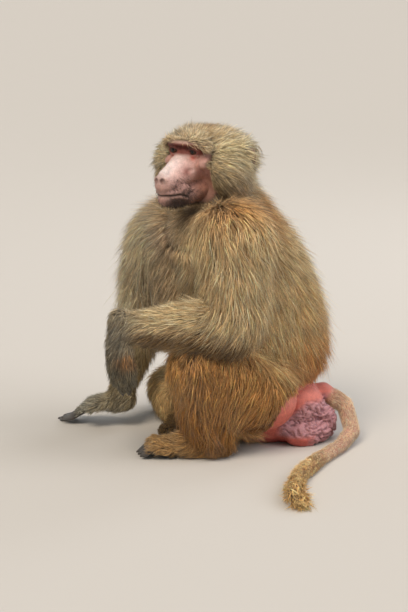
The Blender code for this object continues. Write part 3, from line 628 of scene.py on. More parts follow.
def readNormals(piece):
    normals = np.empty(len(piece.data.vertices) * 3, dtype=np.float32)
    piece.data.vertices.foreach_get("normal", normals)
    return normals.reshape(-1, 3).astype(float)


# how much a place belongs to the purple, folded part of the rump
def foldShare(places):
    edge = np.clip(0.048 + (places[:, 1] + 0.020) * 0.8, 0, 0.082)
    low = np.clip((edge - places[:, 2]) / 0.010, 0, 1)
    rear = np.clip((places[:, 1] + 0.030) / 0.014, 0, 1)
    strip = np.maximum(np.clip((places[:, 2] - 0.014) / 0.008, 0, 1), np.clip((places[:, 1] - 0.020) / 0.02, 0, 1))
    return low * rear * strip * np.clip((0.092 - np.abs(places[:, 0])) / 0.012, 0, 1)


def foldDepth(places):
    depth = np.zeros(len(places))
    share = foldShare(places)
    for i in np.flatnonzero(share > 0.01):
        x, y, z = places[i]
        bend = noise.noise_vector(Vector((x, y, z)) * 45)
        spot = Vector((x * 70 + bend[0] * 1.6, y * 70 + bend[1] * 1.6, z * 150 + bend[2] * 1.6))
        crease = 1 - min(1, abs(noise.noise(spot)) * 3.8)
        depth[i] = share[i] * (crease - 0.3)
    return depth


def makeTail():
    made = chain([point for point, _ in body["tail"]], [radius for _, radius in body["tail"]], 18)
    return fuse("tailCore", made, 0.0022, 2)


def makeSkin():
    skin = fuse("skin", trunkPieces() + limbPieces() + skullPieces(), body["bodyVoxel"], 10)
    print("trunk and limbs", len(skin.data.vertices))
    parts = [makeFace(), makeEar(1), makeEar(-1), makeHand("left"), makeHand("right"), makeFoot("left"),
             makeFoot("right"), makeRump(), makeTail()]
    combine(skin, parts, "UNION")
    places = readPlaces(skin)
    places[:, 2] = np.maximum(places[:, 2], body["floorGap"])
    writePlaces(skin, places)
    skin.data.shade_smooth()
    return skin


skin = makeSkin()
print("skin", len(skin.data.vertices), "points")


# zones of the coat: how far each place is from each part of the body

def array(point):
    return np.array(tuple(point), dtype=float)


def unit(vectors):
    return vectors / (np.linalg.norm(vectors, axis=1)[:, None] + 1e-12)


# hair of each zone: length at its start and end, how far it follows the limb, how far its tips draw together,
# width of a tuft, share of dark-tipped hairs, and the colours of its middle and its tips
coat = {
    "head": ((0.036, 0.062), 0.0, 0.10, 0.0011, 0.34, "#a38a66", "#dcc6a0"),
    "trunk": ((0.056, 0.068), 0.0, 0.16, 0.0014, 0.20, "#bd935e", "#edd0a2"),
    "upperArmLeft": ((0.064, 0.058), 0.50, 0.16, 0.0014, 0.20, "#c09a68", "#f0d2a4"),
    "forearmLeft": ((0.042, 0.020), 0.80, 0.16, 0.0013, 0.20, "#ad9168", "#dcc69c"),
    "upperArmRight": ((0.064, 0.056), 0.50, 0.16, 0.0014, 0.20, "#cbb084", "#f0dcb4"),
    "forearmRight": ((0.038, 0.018), 0.90, 0.16, 0.0013, 0.35, "#83704e", "#b8a478"),
    "thighLeft": ((0.054, 0.056), 0.30, 0.36, 0.0015, 0.22, "#855427", "#d9a460"),
    "shinLeft": ((0.058, 0.056), 0.45, 0.44, 0.0015, 0.26, "#5c3816", "#b87f34"),
    "thighRight": ((0.048, 0.042), 0.60, 0.30, 0.0016, 0.14, "#ae8a58", "#dcba84"),
    "shinRight": ((0.038, 0.032), 0.60, 0.30, 0.0015, 0.18, "#a88656", "#d6b480"),
    "handLeft": ((0.032, 0.012), 1.0, 0.26, 0.0013, 0.50, "#332c20", "#8c8268"),
    "handRight": ((0.020, 0.009), 1.0, 0.20, 0.0011, 0.45, "#5f594b", "#aaa592"),
    "footLeft": ((0.028, 0.012), 1.0, 0.30, 0.0012, 0.30, "#7a5a34", "#bc9864"),
    "footRight": ((0.022, 0.012), 1.0, 0.30, 0.0012, 0.40, "#5c482e", "#94794e"),
    "tailUpper": ((0.009, 0.010), 1.0, 0.05, 0.0007, 0.0, "#d8ae90", "#f2d3b4"),
    "tailLower": ((0.011, 0.024), 1.0, 0.16, 0.0010, 0.06, "#cba16c", "#eecb98"),
    "tuft": ((0.052, 0.070), 1.0, 0.34, 0.0015, 0.12, "#b48748", "#e6c286"),
}
zoneNames = list(coat)
zoneIndex = {name: i for i, name in enumerate(zoneNames)}
blendWidth = 0.011


def footEnds(which):
    _, heel, ahead, _ = feet[which]
    heel, ahead = array(heel), array(Vector(ahead).normalized())
    return heel + ahead * 0.01 + np.array([0, 0, 0.014]), heel + ahead * 0.130 + np.array([0, 0, 0.012])


def handEnds(which):
    wrist, ahead = array(hands[which][0]), array(Vector(hands[which][1]).normalized())
    return wrist, wrist + ahead * 0.112


tailPoints = [array(point) for point, _ in body["tail"]]
zoneBones = {
    "handLeft": (*handEnds("left"), (0.017, 0.020, 0.013), (0.009, 0.008, 0.004)),
    "handRight": (*handEnds("right"), (0.017, 0.020, 0.013), (0.009, 0.009, 0.003)),
    "footLeft": (*footEnds("left"), (0.018, 0.019, 0.014), (0.012, 0.009, 0.005)),
    "footRight": (*footEnds("right"), (0.018, 0.019, 0.014), (0.010, 0.008, 0.004)),
}
zoneBones.update({name: (array(a), array(b), radii, coats) for name, (a, b, radii, coats) in body["limbs"].items()})
tailSpans = {"tailUpper": (1, 5, 0.003), "tailLower": (5, 7, 0.007), "tuft": (7, 9, 0.021)}


def nearBone(places, start, end, radii):
    bone = end - start
    along = np.clip((places - start) @ bone / (bone @ bone), 0, 1)
    gap = np.linalg.norm(places - start - along[:, None] * bone, axis=1)
    return gap - np.interp(along, (0, 0.5, 1), radii), along


def tailRadii(i):
    thick, thin = body["tail"][i][1], body["tail"][i + 1][1]
    return thick, (thick + thin) / 2, thin


def headSpace(places):
    offset = places - array(head["centre"])
    return [offset @ array(axis) for axis in headAxes()]


# weights, place along the zone, depth of the coat and lie of the hair, for each place
def readZones(places):
    count = len(places)
    gaps = np.full((count, len(zoneNames)), 1.0)
    along = np.zeros((count, len(zoneNames)))
    depth = np.zeros((count, len(zoneNames)))
    lie = np.zeros((count, len(zoneNames), 3))
    down = np.array([0, 0, -1.0])

    ahead, left, up = headSpace(places)
    forward, leftWay, upWay = (array(axis) for axis in headAxes())
    k = zoneIndex["head"]
    reach = 0.066 + 0.012 * ramp(-up, 0.035, 0.075)
    gaps[:, k] = np.sqrt((ahead + 0.004) ** 2 + left**2 + ((up + 0.02) * 0.85) ** 2) - reach
    top, front = ramp(up, 0.012, 0.045), ramp(ahead, -0.015, 0.020)
    along[:, k] = ramp(-up, 0.030, 0.085)
    forehead = 1 - ramp(np.abs(left), 0.010, 0.036)
    depth[:, k] = 0.034 - 0.019 * top * (1 - front) - 0.015 * top * front * forehead
    side = (np.clip(left / 0.05, -1, 1) * ramp(ahead, -0.030, 0.030))[:, None]
    rise = np.clip(up / 0.04, -1, 1)[:, None] * 0.33
    lie[:, k] = leftWay * side * 0.7 - forward * (0.62 + rise) - upWay * (0.50 - rise)
    hang = ramp(-up, 0.035, 0.085)[:, None]
    lie[:, k] += (leftWay * np.clip(left / 0.05, -1, 1)[:, None] * 0.8 - upWay * 0.3) * hang

    rings = body["trunk"]
    height = places[:, 2]
    measures = (np.interp(height, rings[:, 0], rings[:, i]) for i in range(1, 6))
    middle, halfDepth, halfWidth, twist, coatDepth = measures
    turn = np.radians(twist)
    offset = places[:, 1] - middle
    across = (places[:, 0] * np.cos(turn) + offset * np.sin(turn)) / halfWidth
    fore = (places[:, 0] * np.sin(turn) - offset * np.cos(turn)) / halfDepth
    k = zoneIndex["trunk"]
    gaps[:, k] = (np.hypot(across, fore) - 1) * (halfDepth + halfWidth) / 2 + np.clip(height - 0.455, 0, 1)
    along[:, k] = np.clip((0.44 - height) / 0.36, 0, 1)
    depth[:, k] = coatDepth
    # down, and away from the head where the mantle begins
    outward = unit(places - array(head["centre"]))
    near = ramp(height, 0.29, 0.38)[:, None]
    lie[:, k] = down * (1 - near * 0.75) + outward * (0.25 + near * 1.3)

    for name, (start, end, radii, coats) in zoneBones.items():
        k = zoneIndex[name]
        gaps[:, k], along[:, k] = nearBone(places, start, end, radii)
        depth[:, k] = np.interp(along[:, k], (0, 0.5, 1), coats)
        follow = coat[name][1]
        lie[:, k] = (end - start) / np.linalg.norm(end - start) * follow + down * (1 - follow)
        if name.startswith("upperArm"):
            lie[:, k] = lie[:, k] * (1 - near * 0.75) + outward * near * 1.5

    for name, (first, last, coats) in tailSpans.items():
        k = zoneIndex[name]
        for i in range(first, last):
            start, end = tailPoints[i], tailPoints[i + 1]
            gap, share = nearBone(places, start, end, tailRadii(i))
            closer = gap < gaps[:, k]
            gaps[closer, k] = gap[closer]
            along[closer, k] = (i - first + share[closer]) / (last - first)
            lie[closer, k] = (end - start) / np.linalg.norm(end - start)
        depth[:, k] = coats

    weights = np.exp(-(gaps - gaps.min(axis=1)[:, None]) / blendWidth)
    weights /= weights.sum(axis=1)[:, None]
    return weights, along, depth, lie


# 0 below low, 1 above high, and smooth between them
def ramp(values, low, high):
    share = np.clip((values - low) / (high - low), 0, 1)
    return share * share * (3 - 2 * share)


# 1 at a spot, and falling off round it
def around(places, spot, radius):
    return np.exp(-(np.linalg.norm(places - array(spot), axis=1) / radius) ** 2)


# lower edge of the hair over the bare rump: height of the edge for a place along Y
def rumpEdge(y):
    return np.interp(y, (-0.080, -0.060, -0.045, -0.034, -0.018, 0.005, 0.030, 0.070),
                     (0.0, 0.022, 0.048, 0.086, 0.100, 0.108, 0.110, 0.106))


# share of the places where hair grows, and how much of its full length it reaches there
def hairGrowth(places, normals):
    ahead, left, up = headSpace(places)
    byHead = np.sqrt(ahead**2 + left**2 + (up + 0.02) ** 2) < 0.125
    # the bare mask of the face, squarish as seen from the front
    mask = ((np.abs(left) / 0.0455) ** 4 + (np.abs(up + 0.018) / 0.0535) ** 4) ** 0.25
    density = 1 - (1 - ramp(mask, 0.90, 1.02)) * ramp(ahead, 0.002, 0.014) * byHead
    shortening = 0.74 - 0.20 * ramp(up, 0.022, 0.036)
    length = 1 - shortening * (1 - ramp(mask, 0.88, 1.45)) * ramp(ahead, -0.01, 0.03) * byHead
    length -= 0.34 * ramp(up, 0.028, 0.046) * (1 - ramp(np.abs(left), 0.012, 0.045)) * byHead
    length *= 1 - 0.45 * around(places, (0.0, -0.200, 0.335), 0.055)  # breast
    throat = ramp(ahead, 0.006, 0.022) * ramp(-up, 0.060, 0.072) * (np.abs(left) < 0.034) * byHead
    length *= 1 - 0.55 * throat
    earGap = np.hypot(ahead - head["ear"][0], up - head["ear"][2])
    density *= ~((earGap < 0.017) & (np.abs(left) > 0.070))

    over = places[:, 2] - rumpEdge(places[:, 1])
    rear = ramp(places[:, 0], -0.106, -0.078) * ramp(-places[:, 0], -0.130, -0.116)
    rear *= (places[:, 1] > -0.080) & (places[:, 2] < 0.18)
    tail = tailShare(places)
    density *= 1 - (1 - ramp(over, -0.002, 0.004)) * rear * (1 - tail)
    length *= 1 - rear * (1 - tail) * (1 - np.clip((over + 0.006) / 0.085, 0.20, 1))
    density *= ramp(places[:, 2], 0.002, 0.006)
    for which, bareFrom in (("left", 0.098), ("right", 0.062)):
        wrist, way, back = (array(value) for value in hands[which][:3])
        reach = (places - wrist) @ way / np.linalg.norm(way)
        near = np.linalg.norm(places - wrist, axis=1) < 0.140
        facing = normals @ (back / np.linalg.norm(back))
        palm = (1 - ramp(facing, -0.55, -0.15)) * ramp(reach, 0.0, 0.02)
        density *= 1 - near * np.maximum(palm, ramp(reach, bareFrom, bareFrom + 0.018))
        length *= 1 - 0.5 * near * ramp(reach, bareFrom - 0.02, bareFrom + 0.01)
    for which in ("left", "right"):
        heel, toes = footEnds(which)
        reach = (places - heel) @ (toes - heel) / ((toes - heel) @ (toes - heel))
        close = np.linalg.norm(places - (heel + toes) / 2, axis=1) < 0.085
        near = (reach > -0.2) & (places[:, 2] < 0.040) & close
        density *= 1 - near * np.maximum(1 - ramp(normals[:, 2], -0.55, -0.15), ramp(reach, 0.84, 0.98))
    return density, length


# 1 on the tail, clear of the rump
def tailShare(places):
    share = np.zeros(len(places))
    for i in range(1, len(tailPoints) - 1):
        gap, along = nearBone(places, tailPoints[i], tailPoints[i + 1], tailRadii(i))
        clear = ramp(along, 0.15, 0.45) if i == 1 else 1
        share = np.maximum(share, ramp(-gap, -0.006, -0.003) * clear)
    return share


# a patch on the left of the head, and its like on the right
def bothSides(place, radius, code, strength):
    forward, left, up = place
    return [(headPoint(forward, side * left, up), radius, code, strength) for side in (1, -1)]


# patches of colour in the coat: place, radius, colour, strength
patches = [
    (headPoint(-0.035, 0.010, -0.085), 0.050, "#b07c42", 0.75),  # russet nape
    *bothSides((-0.036, 0.060, -0.078), 0.034, "#a8743a", 0.80),
    *bothSides((0.014, 0.058, -0.050), 0.032, "#564a33", 0.90),  # grey behind the cheek
    *bothSides((0.026, 0.052, -0.022), 0.015, "#6a5c42", 0.75),
    (headPoint(-0.006, 0.0, 0.050), 0.034, "#8f7444", 0.60),  # crown
    (headPoint(-0.002, 0.004, 0.048), 0.012, "#7a5626", 0.70),
    *bothSides((-0.045, 0.045, 0.000), 0.036, "#d8caa2", 0.60),  # sides of the nape
    ((0.085, -0.112, 0.405), 0.030, "#a8763a", 0.70),  # where the ruff meets the mantle
    ((0.062, -0.185, 0.335), 0.050, "#ccb894", 0.50),
    ((-0.090, -0.205, 0.340), 0.060, "#ccba98", 0.60),
    ((0.060, 0.040, 0.260), 0.085, "#cfa670", 0.50),  # back
    (headPoint(0.036, 0.0, 0.040), 0.022, "#ccb896", 0.65),  # brow
    *bothSides((0.014, 0.055, 0.012), 0.022, "#cdbd92", 0.60),  # temples
    # throat: dark brown hair, deepened with painted shade under the head
    (headPoint(0.040, 0.0, -0.080), 0.024, "#3c2412", 0.92),  # throat
    ((0.010, -0.205, 0.365), 0.030, "#a8907c", 0.65),  # breast
    ((-0.030, -0.200, 0.290), 0.060, "#93826a", 0.75),
    ((-0.030, -0.170, 0.160), 0.075, "#8a6038", 0.60),  # belly
    ((0.040, 0.050, 0.150), 0.070, "#ac6c30", 0.60),  # hip
    ((0.090, -0.040, 0.168), 0.028, "#d0a878", 0.70),
    ((-0.040, 0.050, 0.150), 0.070, "#ac6c30", 0.60),
    ((0.085, -0.050, 0.060), 0.040, "#6a3d18", 0.80),
    ((0.140, -0.210, 0.150), 0.030, "#b58c54", 0.60),  # knee
    # painted shade under the elbow, where the forearm meets the upper arm
    ((0.150, -0.140, 0.210), 0.026, "#6e4a22", 0.60),  # under the elbow
    ((0.126, -0.292, 0.188), 0.013, "#a06c34", 0.80),  # back of the near hand
]


# colours of larger regions: of a hair's middle, and of its tip
regionTints = {
    "russet": ("#bd7d3c", "#ebb06c"),  # lower trunk
    # painted shade on the underside of the near forearm and the elbow
    "underShade": ("#3c2710", "#7a5a2c"),  # underside of the near forearm
    "wrist": ("#57554a", "#a19d8e"),  # near wrist
    "tipLift": 1.35,  # how much lighter a patch is at the tips
}


# mixes a colour in, by a share for each place
def mixIn(colours, code, share, lift=1.0):
    colours += (rgb(code) * lift - colours) * share[:, None]


def coatColours(places, normals, weights):
    middle, tips = (weights @ np.array([rgb(coat[name][i]) for name in zoneNames]) for i in (5, 6))
    russet = ramp(-places[:, 2], -0.265, -0.150) * weights[:, zoneIndex["trunk"]]
    for colours, code in zip((middle, tips), regionTints["russet"]):
        mixIn(colours, code, russet)
    for place, radius, code, strength in patches:
        share = around(places, place, radius) * strength
        for colours, lift in ((middle, 1.0), (tips, regionTints["tipLift"])):
            mixIn(colours, code, share, lift)
    # painted shade on the undersides of the near forearm and of the upper arm above the elbow, darkest where they
    # face down
    elbow = weights[:, zoneIndex["upperArmLeft"]] * ramp(-places[:, 2], -0.240, -0.205)
    underShade = ramp(-normals[:, 2], -0.40, 0.25) * (weights[:, zoneIndex["forearmLeft"]] + elbow)
    wrist = around(places, hands["left"][0], 0.036) * 0.8
    for region, share in (("underShade", underShade * 0.92), ("wrist", wrist)):
        for colours, code in zip((middle, tips), regionTints[region]):
            mixIn(colours, code, share)
    return middle, tips


# colour of the skin: place in the head's own directions, radius, colour, strength
faceSpots = [
    ((0.070, 0.0, -0.022), 0.055, "#d8aea4", 1.0),  # muzzle
    ((0.034, 0.034, -0.036), 0.022, "#b07a66", 0.95),  # cheek
    ((0.040, 0.034, -0.004), 0.013, "#cf9c8e", 0.8),
    # painted shade in the hollow beside the muzzle and in the hollow of the cheek
    ((0.070, 0.023, -0.013), 0.0085, "#8a5046", 0.88),
    ((0.046, 0.034, -0.019), 0.0095, "#8a5048", 0.88),
    ((0.056, 0.029, -0.014), 0.0050, "#dcb6ac", 0.7),
    ((0.064, 0.0, 0.001), 0.013, "#ecd6cf", 0.85),  # ridge of the nose
    ((0.082, 0.0, -0.004), 0.014, "#efdcd6", 0.9),
    ((0.099, 0.0, -0.014), 0.013, "#e6dad5", 0.95),
    ((0.0400, 0.0415, 0.0285), 0.0068, "#e8b8ac", 0.95),  # rim of the brow
    ((0.0520, 0.0290, 0.0365), 0.0064, "#e6bcae", 0.95),
    ((0.0570, 0.0120, 0.0370), 0.0064, "#e2bcae", 0.95),
    ((0.0570, 0.0, 0.0370), 0.0064, "#e2bcae", 0.9),
    # painted shade: near-black inside the nostril
    ((0.1105, 0.0062, -0.0262), 0.0044, "#240e09", 1.0),  # nostril
    ((0.096, 0.014, -0.041), 0.011, "#95726a", 0.75),  # upper lip
    ((0.102, 0.0, -0.041), 0.009, "#9a7a72", 0.7),
    ((0.080, 0.024, -0.038), 0.012, "#a0776c", 0.7),
    # chin and the underside of the jaw: dark brown skin, deepened with painted shade underneath
    ((0.089, 0.010, -0.063), 0.0165, "#2e170d", 1.0),  # chin
    ((0.070, 0.022, -0.068), 0.015, "#4a2c1f", 0.95),
    ((0.040, 0.030, -0.072), 0.018, "#50301f", 0.95),
]


# painted over the band under the brow: painted shade on the lids round the eye, and the red rim of the lower lid
lidSpots = [
    ((0.051, 0.021, 0.0165), 0.0070, "#3c140c", 0.85),
    ((0.0525, 0.022, 0.0070), 0.0042, "#cc6c5a", 0.85),
]

skinTints = {
    "face": "#8d6250",
    # red-brown skin under the brow, with painted shade in the recess
    "browRedAndShade": "#6e2617",
    "lipRim": "#bd978a",
    "mouthSlitShade": "#1a0c08",
    "handsAndFeet": "#4d4844",
    "fingers": "#6c6c6b",
    "rump": "#cc6a5a",
    "rumpGlow": "#dd8a7c",
    "rumpLow": "#b8584c",
    "folds": "#c08c90",
    # painted shade in the creases of the folds
    "creaseShade": "#5a2226",
    "tail": "#d89c88",
    "ears": "#745848",
}


def skinColours(places, normals):
    weights, _, _, _ = readZones(places)
    middle, _ = coatColours(places, normals, weights)
    share, _ = hairGrowth(places, normals)
    # under the hair the skin takes half the coat's middle colour: painted shade between the hairs
    colours = middle * 0.5
    bare = np.tile(rgb(skinTints["face"]), (len(places), 1))

    ahead, left, up = headSpace(places)
    # the band under the brow: red-brown skin, deepened with painted shade in the recess under the ridge
    redBandAndShade = ramp(up, 0.009, 0.014) * ramp(-up, -0.0305, -0.0275) * ramp(ahead, 0.034, 0.040)
    redBandAndShade *= ramp(-np.abs(left), -0.040, -0.034)
    for spots in (faceSpots, lidSpots):
        for (spotAhead, spotLeft, spotUp), radius, code, strength in spots:
            gap = (ahead - spotAhead) ** 2 + (np.abs(left) - spotLeft) ** 2 + (up - spotUp) ** 2
            mixIn(bare, code, np.exp(-gap / radius**2) * strength)
        if spots is faceSpots:
            mixIn(bare, skinTints["browRedAndShade"], redBandAndShade * 0.9)
    # line of the mouth, painted near-black as shade in the slit, and the pale rim of the lower lip
    lips = ramp(ahead, 0.064, 0.069) * (np.abs(left) < 0.033)
    level = np.interp(ahead, [point[0] for point in head["mouth"]], [point[2] for point in head["mouth"]])
    slitShade = np.exp(-((up - level) / 0.0017) ** 2) * lips
    rim = np.exp(-((up - level + 0.0038) / 0.0019) ** 2) * lips * 0.75
    mixIn(bare, skinTints["lipRim"], rim)
    mixIn(bare, skinTints["mouthSlitShade"], slitShade)

    ends = weights[:, [zoneIndex[name] for name in ("handLeft", "handRight", "footLeft", "footRight")]].sum(axis=1)
    mixIn(bare, skinTints["handsAndFeet"], ramp(ends, 0.3, 0.7))
    for which in ("left", "right"):
        reach = (places - array(hands[which][0])) @ array(Vector(hands[which][1]).normalized())
        near = np.linalg.norm(places - array(hands[which][0]), axis=1) < 0.135
        mixIn(bare, skinTints["fingers"], near * ramp(reach, 0.075, 0.10) * 0.6)

    rear = ramp(0.16 - np.linalg.norm(places - np.array([0, 0.015, 0.04]), axis=1), 0.0, 0.02)
    rump = np.tile(rgb(skinTints["rump"]), (len(places), 1))
    mixIn(rump, skinTints["rumpGlow"], np.exp(-((places[:, 2] - 0.090) / 0.018) ** 2) * 0.5)
    mixIn(rump, skinTints["rumpLow"], ramp(-places[:, 2], -0.020, -0.008))
    mixIn(rump, skinTints["folds"], foldShare(places))
    # painted shade, darkest in the deepest creases of the folds
    mixIn(rump, skinTints["creaseShade"], np.clip(foldDepth(places), 0, 1) * 0.9)
    bare += (rump - bare) * rear[:, None]

    tailSkin = rgb(skinTints["tail"])
    tail = tailShare(places)
    bare += (tailSkin - bare) * tail[:, None]
    earGap = np.hypot(ahead - head["ear"][0], up - head["ear"][2])
    ears = (earGap < 0.024) & (np.abs(left) > 0.062)
    bare[ears] = rgb(skinTints["ears"])

    colours += (bare - colours) * (1 - share)[:, None]
    colours += (tailSkin - colours) * (tail * 0.7)[:, None]
    return colours


def paint(piece, colours, name):
    layer = piece.data.color_attributes.new(name=name, type="FLOAT_COLOR", domain="POINT")
    full = np.ones((len(colours), 4), dtype=np.float32)
    full[:, :3] = np.clip(colours, 0, 1)
    layer.data.foreach_set("color", full.ravel())


# skin: dry and finely creased, painted by place, with blotches and pores that break its colour
def skinMaterial():
    material, tree, shader = newMaterial("creasedBareSkin", 0.52, 0.42)
    place = objectPlace(tree)
    colour = addNode(tree, "ShaderNodeVertexColor", layer_name="skinColour").outputs["Color"]
    _, blotches = addNoise(tree, place, 130.0, 3.0, (0.3, 0.7), (0.84, 1.12))
    rawPores, pores = addNoise(tree, place, 900.0, 2.0, (0.35, 0.6), (0.80, 1.06))
    factor = addNode(tree, "ShaderNodeMath", {0: blotches, 1: pores}, operation="MULTIPLY")
    tinted = addNode(tree, "ShaderNodeVectorMath", {0: colour, 1: factor.outputs[0]}, operation="MULTIPLY")
    tree.links.new(tinted.outputs[0], shader.inputs["Base Color"])
    crease = addNode(tree, "ShaderNodeTexVoronoi", {"Vector": place, "Scale": 420.0}, feature="DISTANCE_TO_EDGE")
    creaseValue = addNode(tree, "ShaderNodeMapRange", {"Value": crease.outputs["Distance"], "From Max": 0.12})
    mixed = addNode(tree, "ShaderNodeMath", {0: creaseValue.outputs["Result"], 1: rawPores}, operation="ADD")
    bump = addNode(tree, "ShaderNodeBump", {"Height": mixed.outputs[0], "Strength": 0.45, "Distance": 0.0007})
    tree.links.new(bump.outputs["Normal"], shader.inputs["Normal"])
    shader.inputs["Subsurface Weight"].default_value = 0.12
    shader.inputs["Subsurface Radius"].default_value = (0.004, 0.0018, 0.001)
    return material


skin.data.materials.clear()
skin.data.materials.append(skinMaterial())
paint(skin, skinColours(readPlaces(skin), readNormals(skin)), "skinColour")
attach(skin, "root")
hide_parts(*[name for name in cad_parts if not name.startswith("eye")])
print("skin painted")

# the coat: thin closed tufts, grown from the skin along the lie of the hair

fur = {
    "bend": 0.42,  # where along a tuft its widest ring lies
    "thickness": 0.42,
    "sink": 0.0015,
    "patchSize": 0.003,  # of each tuft on the bake map
    "hang": 0.35,  # how much deeper the coat is where it hangs from below
    "lengthRange": (0.62, 1.20),
    "depthRange": (0.30, 1.04),
    "widthRange": (0.65, 1.25),
    "waves": ((0.06, 0.17), (0.016, 0.16)),  # size and strength of the waves in the lie
    "strayShare": 0.12,  # hairs that stand off from the rest
    "straySize": 0.10,  # of a tuft's length
    "hairsToStrand": 14,
    "strandRadius": 0.016,
    "shadeSpread": 0.34,
    "warmSpread": 0.05,
    # roots darkest: painted shade deep in the coat
    "rootShade": 0.45,  # of the dull colour
    "middleShades": (0.80, 0.38),  # of the dull and the bright colour
    "tipShades": (0.36, 1.25),  # of the bright colour, on a dark-tipped hair and on another
    "floorGap": 0.0006,
    "tipFloorGap": 0.0022,
    # piece, its zones, number of tufts
    "pieces": [
        ("ruffCoat", ("head",), 31000),
        ("napeCoat", ("head",), 23000),
        ("mantleFrontCoat", ("trunk",), 20000),
        ("mantleBackCoat", ("trunk",), 28000),
        ("flankCoat", ("trunk",), 22000),
        ("upperArmCoat", ("upperArmLeft", "upperArmRight"), 32000),
        ("forearmCoat", ("forearmLeft", "forearmRight", "handLeft", "handRight"), 29000),
        ("thighCoat", ("thighLeft", "thighRight"), 25000),
        ("shinCoat", ("shinLeft", "shinRight", "footLeft", "footRight"), 25000),
        ("tailCoat", ("tailUpper", "tailLower", "tuft"), 12000),
    ],
}


class SkinSurface:
    def __init__(self, piece):
        mesh = piece.data
        mesh.calc_loop_triangles()
        self.places = readPlaces(piece)
        self.normals = readNormals(piece)
        corners = np.empty(len(mesh.loop_triangles) * 3, dtype=np.int32)
        mesh.loop_triangles.foreach_get("vertices", corners)
        self.corners = corners.reshape(-1, 3)
        points = self.places[self.corners]
        self.areas = np.linalg.norm(np.cross(points[:, 1] - points[:, 0], points[:, 2] - points[:, 0]), axis=1) / 2
        self.middles = points.mean(axis=1)
        self.faceNormals = self.normals[self.corners].mean(axis=1)
        self.tree = BVHTree.FromPolygons(self.places.tolist(), self.corners.tolist())
        weights, _, _, _ = readZones(self.middles)
        self.zones = weights.argmax(axis=1)
        self.share, _ = hairGrowth(self.middles, self.faceNormals)

    # the nearest places of the skin, and its outward directions there
    def nearest(self, places):
        found = np.empty_like(places)
        normals = np.empty_like(places)
        for i, place in enumerate(places.tolist()):
            spot, normal, _, _ = self.tree.find_nearest(place)
            found[i] = spot
            normals[i] = normal
        return found, normals


# slow waves that turn the lie a little, alike for neighbouring hairs
def waves(places, size):
    turned = places @ np.array([[0.8, -0.5, 0.33], [0.33, 0.8, -0.5], [-0.5, 0.33, 0.8]]) / size
    return np.stack([np.sin(turned[:, i] * 6.3 + 2 * np.sin(turned[:, i - 1] * 4.1)) for i in range(3)], axis=1)


# place of each root on an unwrap of the skin: round each bone and along it
def unwrap(places, zones, along, names):
    flat = np.zeros((len(places), 2))
    for i, name in enumerate(names):
        mine = zones == zoneIndex[name]
        if name == "head":
            ahead, left, up = headSpace(places[mine])
            angle = np.arctan2(left, ahead)
            rise = np.arccos(np.clip(up / (np.sqrt(ahead**2 + left**2 + up**2) + 1e-9), -1, 1)) / math.pi
        elif name == "trunk":
            angle = np.arctan2(places[mine, 0], places[mine, 1] + 0.07)
            rise = places[mine, 2] / 0.48
        else:
            start, end = (zoneBones[name][:2] if name in zoneBones
                          else (tailPoints[tailSpans[name][0]], tailPoints[tailSpans[name][1]]))
            bone = Vector(end - start).normalized()
            sideWay = bone.orthogonal().normalized()
            otherWay = bone.cross(sideWay)
            offset = places[mine] - start
            angle = np.arctan2(offset @ array(otherWay), offset @ array(sideWay))
            rise = along[mine, zoneIndex[name]]
        flat[mine, 0] = (i + (angle / (2 * math.pi) + 0.5) * 0.98) / len(names)
        flat[mine, 1] = 0.01 + 0.97 * np.clip(rise, 0, 1)
    return flat


# closed tufts of six sides: a root, a ring of three where the tuft is widest, and a tip
def tuftPiece(name, spine, out, width, tone, flat):
    count = len(spine)
    way = unit(spine[:, 2] - spine[:, 0])
    acrossWay = unit(np.cross(way, out))
    half = acrossWay * (width / 2)[:, None]
    thick = out * (width * fur["thickness"])[:, None]
    ring = spine[:, 1]
    points = np.stack([spine[:, 0], ring + half, ring - half, ring + thick, spine[:, 2]], axis=1)
    points[:, :, 2] = np.maximum(points[:, :, 2], fur["floorGap"])
    sides = np.array([(0, 2, 1), (0, 3, 2), (0, 1, 3), (1, 2, 4), (2, 3, 4), (3, 1, 4)])
    faces = (sides[None] + 5 * np.arange(count)[:, None, None]).reshape(-1, 3)

    mesh = bpy.data.meshes.new(name)
    mesh.vertices.add(count * 5)
    mesh.vertices.foreach_set("co", points.astype(np.float32).ravel())
    mesh.loops.add(len(faces) * 3)
    mesh.loops.foreach_set("vertex_index", faces.astype(np.int32).ravel())
    mesh.polygons.add(len(faces))
    mesh.polygons.foreach_set("loop_start", np.arange(0, len(faces) * 3, 3, dtype=np.int32))
    mesh.update(calc_edges=True)
    mesh.polygons.foreach_set("use_smooth", np.ones(len(faces), dtype=bool))
    # bake map: a small patch for each tuft at its root's place on the unwrapped skin
    corner = np.array([(0.5, 0.0), (0.0, 0.4), (1.0, 0.4), (0.5, 0.4), (0.5, 1.0)])
    spots = flat[:, None, :] + corner[None] * fur["patchSize"]
    layer = mesh.uv_layers.new(name="OFBake")
    layer.data.foreach_set("uv", spots.reshape(-1, 2)[faces.ravel()].astype(np.float32).ravel())
    made = bpy.data.objects.new(name, mesh)
    bpy.context.scene.collection.objects.link(made)
    shades = np.stack([tone[0], tone[1], tone[1], tone[1] * 1.06, tone[2]], axis=1)
    paint(made, shades.reshape(-1, 3), "coatColour")
    return made


# random places on chosen faces of the skin
def scatter(surface, odds, count, rng):
    picks = rng.choice(len(odds), size=count, p=odds / odds.sum())
    a, b = rng.random(count), rng.random(count)
    over = a + b > 1
    a[over], b[over] = 1 - a[over], 1 - b[over]
    bary = np.stack([1 - a - b, a, b], axis=1)[:, :, None]
    corners = surface.corners[picks]
    return (surface.places[corners] * bary).sum(axis=1), unit((surface.normals[corners] * bary).sum(axis=1))


# what each zone gives for a place, blended by the weights
def blended(weights, column, along=None):
    values = [coat[zone][column] for zone in zoneNames]
    if along is None:
        return weights @ np.array(values)
    first, last = (np.array([value[i] for value in values]) for i in (0, 1))
    return (weights * (first + (last - first) * along)).sum(axis=1)


